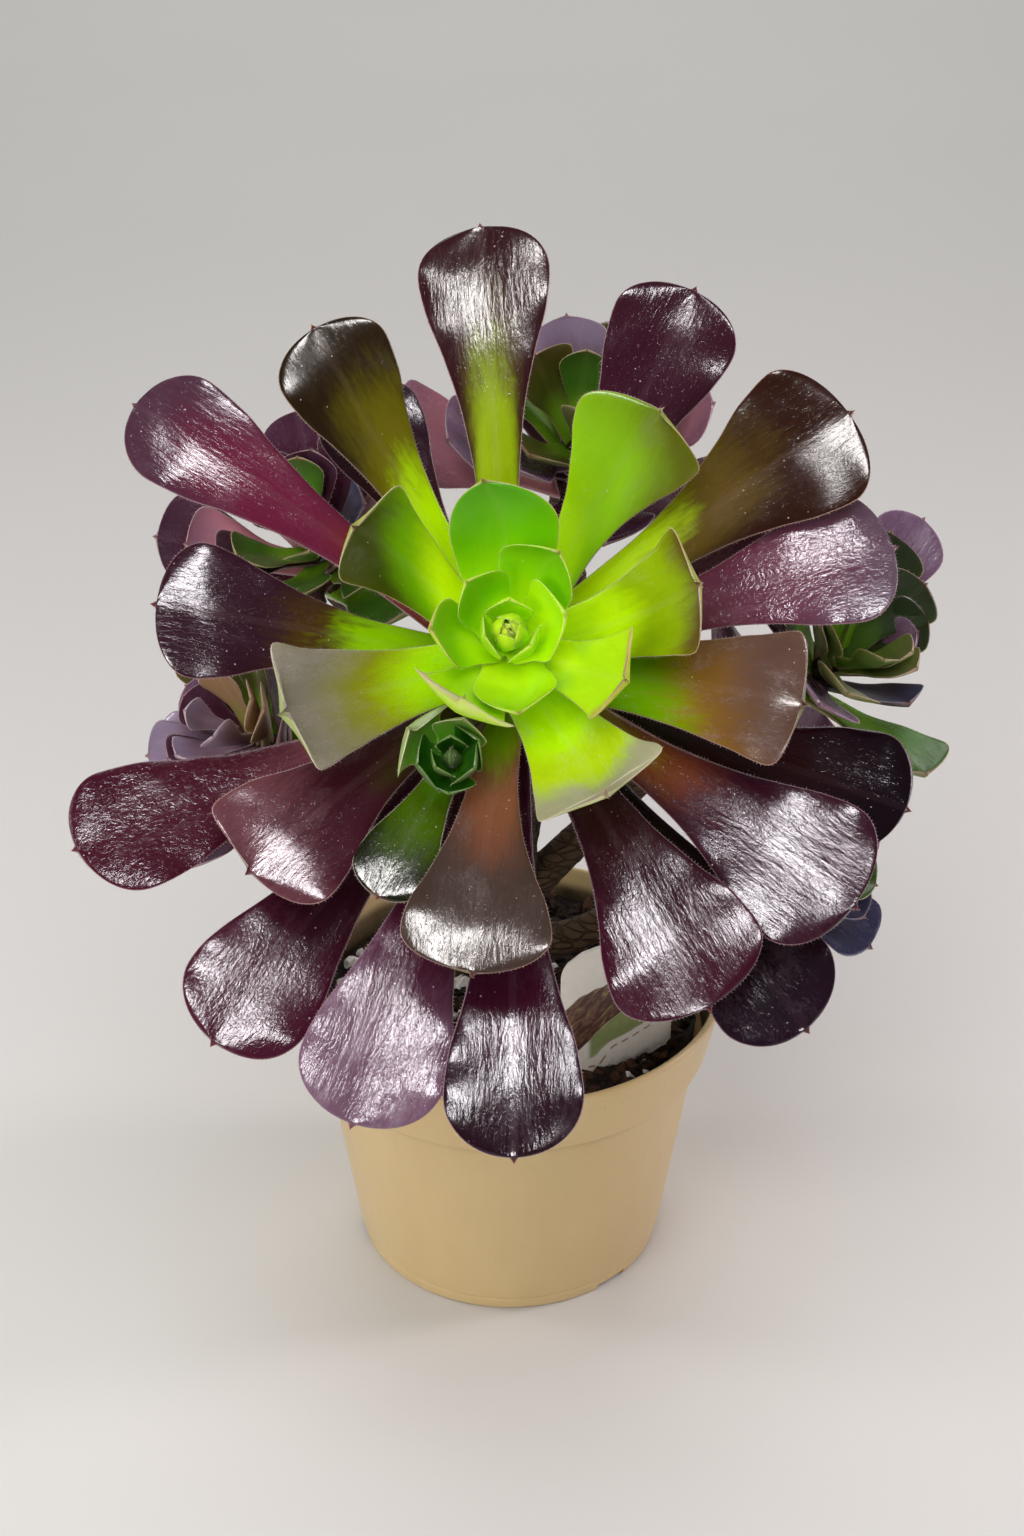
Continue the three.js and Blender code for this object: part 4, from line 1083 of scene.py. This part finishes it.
# Potting mix: a lumpy bed with bark, crumbs and perlite on it.
mix = {
    "level": 75, "mound": 3, "backRise": 3.5, "radius": 52.6, "rings": 60, "around": 150,
    "skirt": ((51.4, 62), (50.0, 50), (42.6, 5.2)),  # radius and height down the pot's wall
    "openTo": 50, "stemAt": (0, 8), "stemClear": 9.5,  # where loose grains can lie
    "bark": {"density": 95000, "least": 1.1, "most": 2.9, "flat": 0.55, "cells": 2, "seed": 3},
    "crumbs": {"density": 420000, "least": 0.4, "most": 1.1, "flat": 0.8, "cells": 1, "seed": 9},
    "perlite": {"density": 11000, "least": 0.8, "most": 2.1, "flat": 0.85, "cells": 2, "seed": 21},
}
mixLooks = {  # dark, middle and light colour, relief in metres, fineness of the pattern
    "mixBed": ("#120c08", "#22160f", "#3a281b", 0.0008, 420.0),
    "barkChips": ("#1d120b", "#4a2f1d", "#7a5536", 0.0004, 600.0),
    "peatCrumbs": ("#100b08", "#2c1c12", "#4a3423", 0.0003, 900.0),
    "perlite": ("#b9b4ac", "#dedad2", "#f2efe9", 0.0002, 1500.0),
}


def mixFinish(name, dark, mid, light, depth, scale):
    paint = Finish(name)
    spot = paint.place()
    patch = paint.node("ShaderNodeTexVoronoi", {}, {"Vector": spot, "Scale": scale * 0.35}, "Color")
    cloud = paint.noise(spot, scale, 4.0, 0.6)
    grain = paint.noise(spot, scale * 4, 4.0, 0.7)
    colour = paint.blend(paint.ease(paint.parts(patch), 0.25, 0.9), dark, mid)
    colour = paint.blend(paint.ease(grain, 0.5, 0.8) * 0.6, colour, light)
    return paint.close({
        "Base Color": colour, "Roughness": 0.7 + cloud * 0.25,
        "Normal": paint.bump(grain + cloud, depth), "Specular IOR Level": 0.3,
    })


mixMaterials = {name: mixFinish(name, *look) for name, look in mixLooks.items()}


def mixHeight(x, y):  # the same lumps as on the solid mix, and a rise at the back
    rough = np.sin(0.61 * x + 1.3) * np.cos(0.53 * y - 0.4) + 0.6 * np.sin(0.37 * (x - y) + 2.1)
    back = np.clip((y - 12) / 38, 0, 1) ** 2 * mix["backRise"]
    return mix["level"] + mix["mound"] * np.exp(-(x * x + y * y) / 900) + 0.75 * rough + back


def makeBed():  # gives its points and their grid of rings to what lies on it
    radii = np.linspace(0.4, 1, mix["rings"]) ** 0.8 * mix["radius"]
    radii = np.concatenate([np.linspace(1.5, radii[0], 16, endpoint=False), radii])
    turns = np.linspace(0, 2 * math.pi, mix["around"], endpoint=False)
    r, a = np.meshgrid(radii, turns, indexing="ij")
    x, y = r * np.cos(a), r * np.sin(a)
    z = mixHeight(x, y) + 0.35 * np.sin(1.9 * x + 0.7 * y) * np.sin(1.6 * y - 0.4 * x) - 0.3
    top = np.stack([x, y, z], axis=-1).reshape(-1, 3)
    centre = np.array([[0, 0, float(mixHeight(np.array(0.0), np.array(0.0)))]])
    skirt = [np.stack([q * np.cos(turns), q * np.sin(turns), np.full_like(turns, h)], -1) for q, h in mix["skirt"]]
    points = np.concatenate([top, *skirt, centre]) * mm
    rows, n = len(radii) + len(skirt), mix["around"]
    index = np.arange(rows * n).reshape(rows, n)
    p, q = index[:-1], index[1:]
    quads = np.stack([p, q, np.roll(q, -1, 1), np.roll(p, -1, 1)], axis=-1).reshape(-1, 4).tolist()
    pole = rows * n
    quads += [[pole, int(index[0][j]), int(index[0][(j + 1) % n])] for j in range(n)]
    quads.append([int(v) for v in index[-1]][::-1])
    settle(meshPiece("mixBed", points.tolist(), quads, [mixMaterials["mixBed"]]), "potting_mix", "soil")
    return points, index[:len(radii)]


bedPoints, bedGrid = makeBed()


def scatterTree():
    tree = meshNodes("scatterGrains", {
        "Ground": ("Geometry", None), "Density": ("Float", 1000.0), "Least size": ("Float", 0.001),
        "Most size": ("Float", 0.002), "Flatness": ("Float", 0.6), "Cells": ("Int", 1), "Seed": ("Int", 1),
        "Finish": ("Material", None),
    })
    maker = NodeMaker(tree)
    given = maker.node("NodeGroupInput", {}, {}, "Ground")
    seed = given.other("Seed")
    spots = maker.node("GeometryNodeDistributePointsOnFaces", {"distribute_method": "RANDOM"}, {
        "Mesh": given, "Density": given.other("Density"), "Seed": seed,
    }, "Points")
    ball = maker.node("GeometryNodeMeshIcoSphere", {}, {"Radius": 1.0, "Subdivisions": given.other("Cells")}, "Mesh")
    turn = maker.node("FunctionNodeRandomValue", {"data_type": "FLOAT_VECTOR"}, {
        "Min": (0, 0, 0), "Max": (0.9, 0.9, 6.28), "Seed": seed,
    }, 0)
    size = maker.node("FunctionNodeRandomValue", {"data_type": "FLOAT"}, {
        2: given.other("Least size"), 3: given.other("Most size"), "Seed": seed + 1,
    }, 1)
    long = maker.node("FunctionNodeRandomValue", {"data_type": "FLOAT"}, {2: 0.8, 3: 1.7, "Seed": seed + 2}, 1)
    stretch = maker.node("ShaderNodeCombineXYZ", {}, {0: size * long, 1: size, 2: size * given.other("Flatness")})
    placed = maker.node("GeometryNodeInstanceOnPoints", {}, {
        "Points": spots, "Instance": ball, "Rotation": turn, "Scale": stretch,
    })
    real = maker.node("GeometryNodeRealizeInstances", {}, {0: placed})
    place = maker.node("GeometryNodeInputPosition")
    rough = maker.node("ShaderNodeTexNoise", {}, {"Vector": place, "Scale": 480.0, "Detail": 1.0}, "Color")
    centred = maker.node("ShaderNodeVectorMath", {"operation": "SUBTRACT"}, {0: rough, 1: (0.5, 0.5, 0.5)})
    most = given.other("Most size") * 1.3
    shift = maker.node("ShaderNodeVectorMath", {"operation": "SCALE"}, {0: centred, "Scale": most})
    moved = maker.node("GeometryNodeSetPosition", {}, {"Geometry": real, "Offset": shift})
    again = maker.node("GeometryNodeRealizeInstances", {}, {0: moved})
    done = maker.node("GeometryNodeSetMaterial", {}, {"Geometry": again, "Material": given.other("Finish")})
    maker.node("NodeGroupOutput", {}, {0: done})
    return tree


scatterNodes = scatterTree()
identifiers = {item.name: item.identifier for item in scatterNodes.interface.items_tree if item.in_out == "INPUT"}


def openGround():  # the bed's upper face, without the strip at the wall and the stem's place
    faces = []
    n = mix["around"]
    for low, high in zip(bedGrid, bedGrid[1:]):
        for j in range(n):
            k = (j + 1) % n
            x, y = bedPoints[low[j]][0] / mm, bedPoints[low[j]][1] / mm
            if math.hypot(x, y) < mix["openTo"] and math.dist((x, y), mix["stemAt"]) > mix["stemClear"]:
                faces.append((int(low[j]), int(high[j]), int(high[k]), int(low[k])))
    return bedPoints.tolist(), faces


def scatter(name, grain, material):
    points, faces = openGround()
    piece = meshPiece(name, points, faces, [material])
    modifier = piece.modifiers.new("grains", "NODES")
    modifier.node_group = scatterNodes
    values = {
        "Density": float(grain["density"]), "Least size": grain["least"] * mm, "Most size": grain["most"] * mm,
        "Flatness": grain["flat"], "Cells": grain["cells"], "Seed": grain["seed"], "Finish": material,
    }
    for key, value in values.items():
        modifier[identifiers[key]] = value
    settle(baked(piece), "potting_mix")
    print(name, len(piece.data.polygons), "faces")


scatter("barkChips", mix["bark"], mixMaterials["barkChips"])
scatter("peatCrumbs", mix["crumbs"], mixMaterials["peatCrumbs"])
scatter("perliteGrains", mix["perlite"], mixMaterials["perlite"])
print("potting mix made")


# Plant label: a plastic sheet in the mix, with bands of colour across its front.
label = {
    "width": 36, "top": 116, "foot": 54, "footWidth": 18, "shoulder": 70, "corner": 6, "thickness": 1.1,
    "at": (28.8, -29.5), "angle": 32, "bend": 0.35, "columns": 24, "rows": 44,
    "brown": (90.4, 106.1), "green": (84.6, 91.0), "dashes": (82.0, 83.0),  # heights of the bands at its middle
    "paper": ("#f4f0e6", "#e4dfd2"), "brownInks": ("#4c2f28", "#7a5848", "#8c8a3a"),
    "greenInks": ("#7a8c4c", "#a4ac78"), "dashInk": "#8c6248", "dirt": "#4a3a2c",
}


def labelFinish():
    paint = Finish("labelPlastic")
    spot = paint.parts(paint.attribute("face"))  # millimetres across and up the sheet, and its front
    across, up, front = spot, spot.other("Y"), spot.other("Z")
    wave = paint.noise(paint.join(across * 0.06, up * 0.06, 3.0), 1.0, 2.0)
    marble = paint.noise(paint.join(across * 0.16 + up * 0.2, up * 0.5 - across * 0.35, 1.0), 1.0, 4.0, 0.6, 0.8)
    paper = paint.noise(paint.join(across, up, 7.0), 0.5, 4.0)
    slope = up - across * 0.34 + (wave - 0.5) * 12

    def band(heights, soft):
        low, high = heights
        return paint.ease(slope, low, low + soft) * (1 - paint.ease(slope, high - soft, high))

    brown = band(label["brown"], 0.6)
    green = band(label["green"], 0.6) * paint.ease(across, -10.0, -8.0)
    dash = paint.node("ShaderNodeMath", {"operation": "FRACT"}, {0: across * 0.28}) > 0.42
    dashes = band(label["dashes"], 0.3) * dash
    colour = paint.blend(paper, *label["paper"])
    printBrown = paint.blend(paint.ease(marble, 0.42, 0.6), *label["brownInks"][:2])
    printBrown = paint.blend(paint.ease(marble, 0.6, 0.66), printBrown, label["brownInks"][2])
    printGreen = paint.blend(marble, *label["greenInks"])
    colour = paint.blend(brown * front, colour, printBrown)
    colour = paint.blend(green * front, colour, printGreen)
    colour = paint.blend(dashes * front * 0.8, colour, label["dashInk"])
    dirt = (1 - paint.ease(up + (paper - 0.5) * 8, 74.0, 79.0)) * 0.6
    colour = paint.blend(dirt, colour, label["dirt"])
    return paint.close({
        "Base Color": colour, "Roughness": 0.32 + paper * 0.16 + dirt * 0.3,
        "Normal": paint.bump(paper + marble * 0.3, 0.00008), "Specular IOR Level": 0.5,
    })


def makeLabel():
    half, cols, rows = label["width"] / 2, label["columns"], label["rows"]
    ups = np.linspace(label["foot"], label["top"], rows + 1)
    points, faces, face = [], [], []
    lean = math.radians(label["angle"])
    for sign in (1, -1):
        for up in ups:
            reach = np.interp(up, [label["foot"], label["shoulder"]], [label["footWidth"] / 2, half])
            if up > label["top"] - label["corner"]:
                over = up - (label["top"] - label["corner"])
                reach = half - label["corner"] + math.sqrt(max(label["corner"] ** 2 - over ** 2, 0.0))
            for j in range(cols + 1):
                across = (2 * j / cols - 1) * reach
                thick = label["thickness"] / 2 * (1 - 0.5 * (j in (0, cols)))  # thinner along its edges
                off = -sign * thick + label["bend"] * (up - 75) / 40 * (1 - (across / half) ** 2)
                x = label["at"][0] + across * math.cos(lean) - off * math.sin(lean)
                y = label["at"][1] + across * math.sin(lean) + off * math.cos(lean)
                points.append((x * mm, y * mm, up * mm))
                face.append((across, up, 1.0 if sign > 0 else 0.0))
    side = (rows + 1) * (cols + 1)

    def spotAt(sign, i, j):
        return (0 if sign > 0 else side) + i * (cols + 1) + j

    for i in range(rows):
        for j in range(cols):
            a, b, c, d = [(i, j), (i, j + 1), (i + 1, j + 1), (i + 1, j)]
            faces.append([spotAt(1, *p) for p in (a, b, c, d)])
            faces.append([spotAt(-1, *p) for p in (a, d, c, b)])
        faces.append([spotAt(1, i, 0), spotAt(1, i + 1, 0), spotAt(-1, i + 1, 0), spotAt(-1, i, 0)])
        faces.append([spotAt(1, i, cols), spotAt(-1, i, cols), spotAt(-1, i + 1, cols), spotAt(1, i + 1, cols)])
    for j in range(cols):
        faces.append([spotAt(1, 0, j), spotAt(-1, 0, j), spotAt(-1, 0, j + 1), spotAt(1, 0, j + 1)])
        faces.append([spotAt(1, rows, j), spotAt(1, rows, j + 1), spotAt(-1, rows, j + 1), spotAt(-1, rows, j)])
    attributes = {"face": ("FLOAT_VECTOR", np.array(face, float))}
    piece = meshPiece("plantLabel", points, faces, [labelFinish()], attributes, 40)
    settle(piece, "label_plastic", "label")


makeLabel()
print("label made")


# Floor and light.
studio = {
    "floor": "#d9d6d2", "floorShade": "#d3d0cc", "floorSize": 6.0, "wall": "#d8dadd", "wallStrength": 0.2,
    "lamps": {
        "softbox": {"place": (-0.03, -0.53, 0.98), "aim": (0, -0.08, 0.2), "size": (0.28, 0.22), "power": 9.5,
                    "diffuse": False},
        "key": {"place": (-0.1, -0.6, 1.05), "aim": (0, -0.08, 0.2), "size": (0.9, 0.7), "power": 7.5,
                "glossy": False},
        "fill": {"place": (-0.75, -1.0, 0.5), "aim": (0, -0.08, 0.16), "size": (0.9, 0.6), "power": 7.0,
                 "glossy": False},
        "left": {"place": (-0.8, 0.1, 0.45), "aim": (0, -0.05, 0.18), "size": (0.2, 0.6), "power": 1.8},
        "right": {"place": (0.8, 0.1, 0.4), "aim": (0, -0.05, 0.14), "size": (0.2, 0.6), "power": 3.4,
                  "tint": (1, 0.9, 0.94)},
        "behind": {"place": (0, 1.8, 1.7), "aim": (0, 1.5, 0), "size": (2.0, 1.2), "power": 22.0},
    },
}


def floorFinish():
    paint = Finish("studioFloor")
    spot = paint.place()
    cloud = paint.noise(spot, 3.0, 3.0)
    colour = paint.blend(cloud, studio["floor"], studio["floorShade"])
    return paint.close({"Base Color": colour, "Roughness": 0.7 + cloud * 0.1})


def makeStudio():
    size, under = studio["floorSize"], -0.0001  # a hair under the pot
    corners = [(-size, -size, under), (size, -size, under), (size, size, under), (-size, size, under)]
    meshPiece("studioFloor", corners, [(0, 1, 2, 3)], [floorFinish()])
    for name, lamp in studio["lamps"].items():
        data = bpy.data.lights.new(name, "AREA")
        data.shape = "RECTANGLE"
        data.size, data.size_y = lamp["size"]
        data.energy = lamp["power"]
        data.color = lamp.get("tint", (1, 1, 1))
        holder = bpy.data.objects.new(name, data)
        holder.visible_glossy = lamp.get("glossy", True)  # the softbox gives the gloss, key and fill the colours
        holder.visible_diffuse = lamp.get("diffuse", True)
        holder.location = lamp["place"]
        holder.rotation_euler = (Vector(lamp["aim"]) - Vector(lamp["place"])).to_track_quat("-Z", "Y").to_euler()
        bpy.context.scene.collection.objects.link(holder)
    world = bpy.data.worlds.new("studioWorld")
    world.use_nodes = True
    backdrop = world.node_tree.nodes["Background"]
    backdrop.inputs["Color"].default_value = colourOf(studio["wall"])
    backdrop.inputs["Strength"].default_value = studio["wallStrength"]
    bpy.context.scene.world = world
    bpy.context.scene.view_settings.view_transform = "Standard"


makeStudio()
print("studio made")
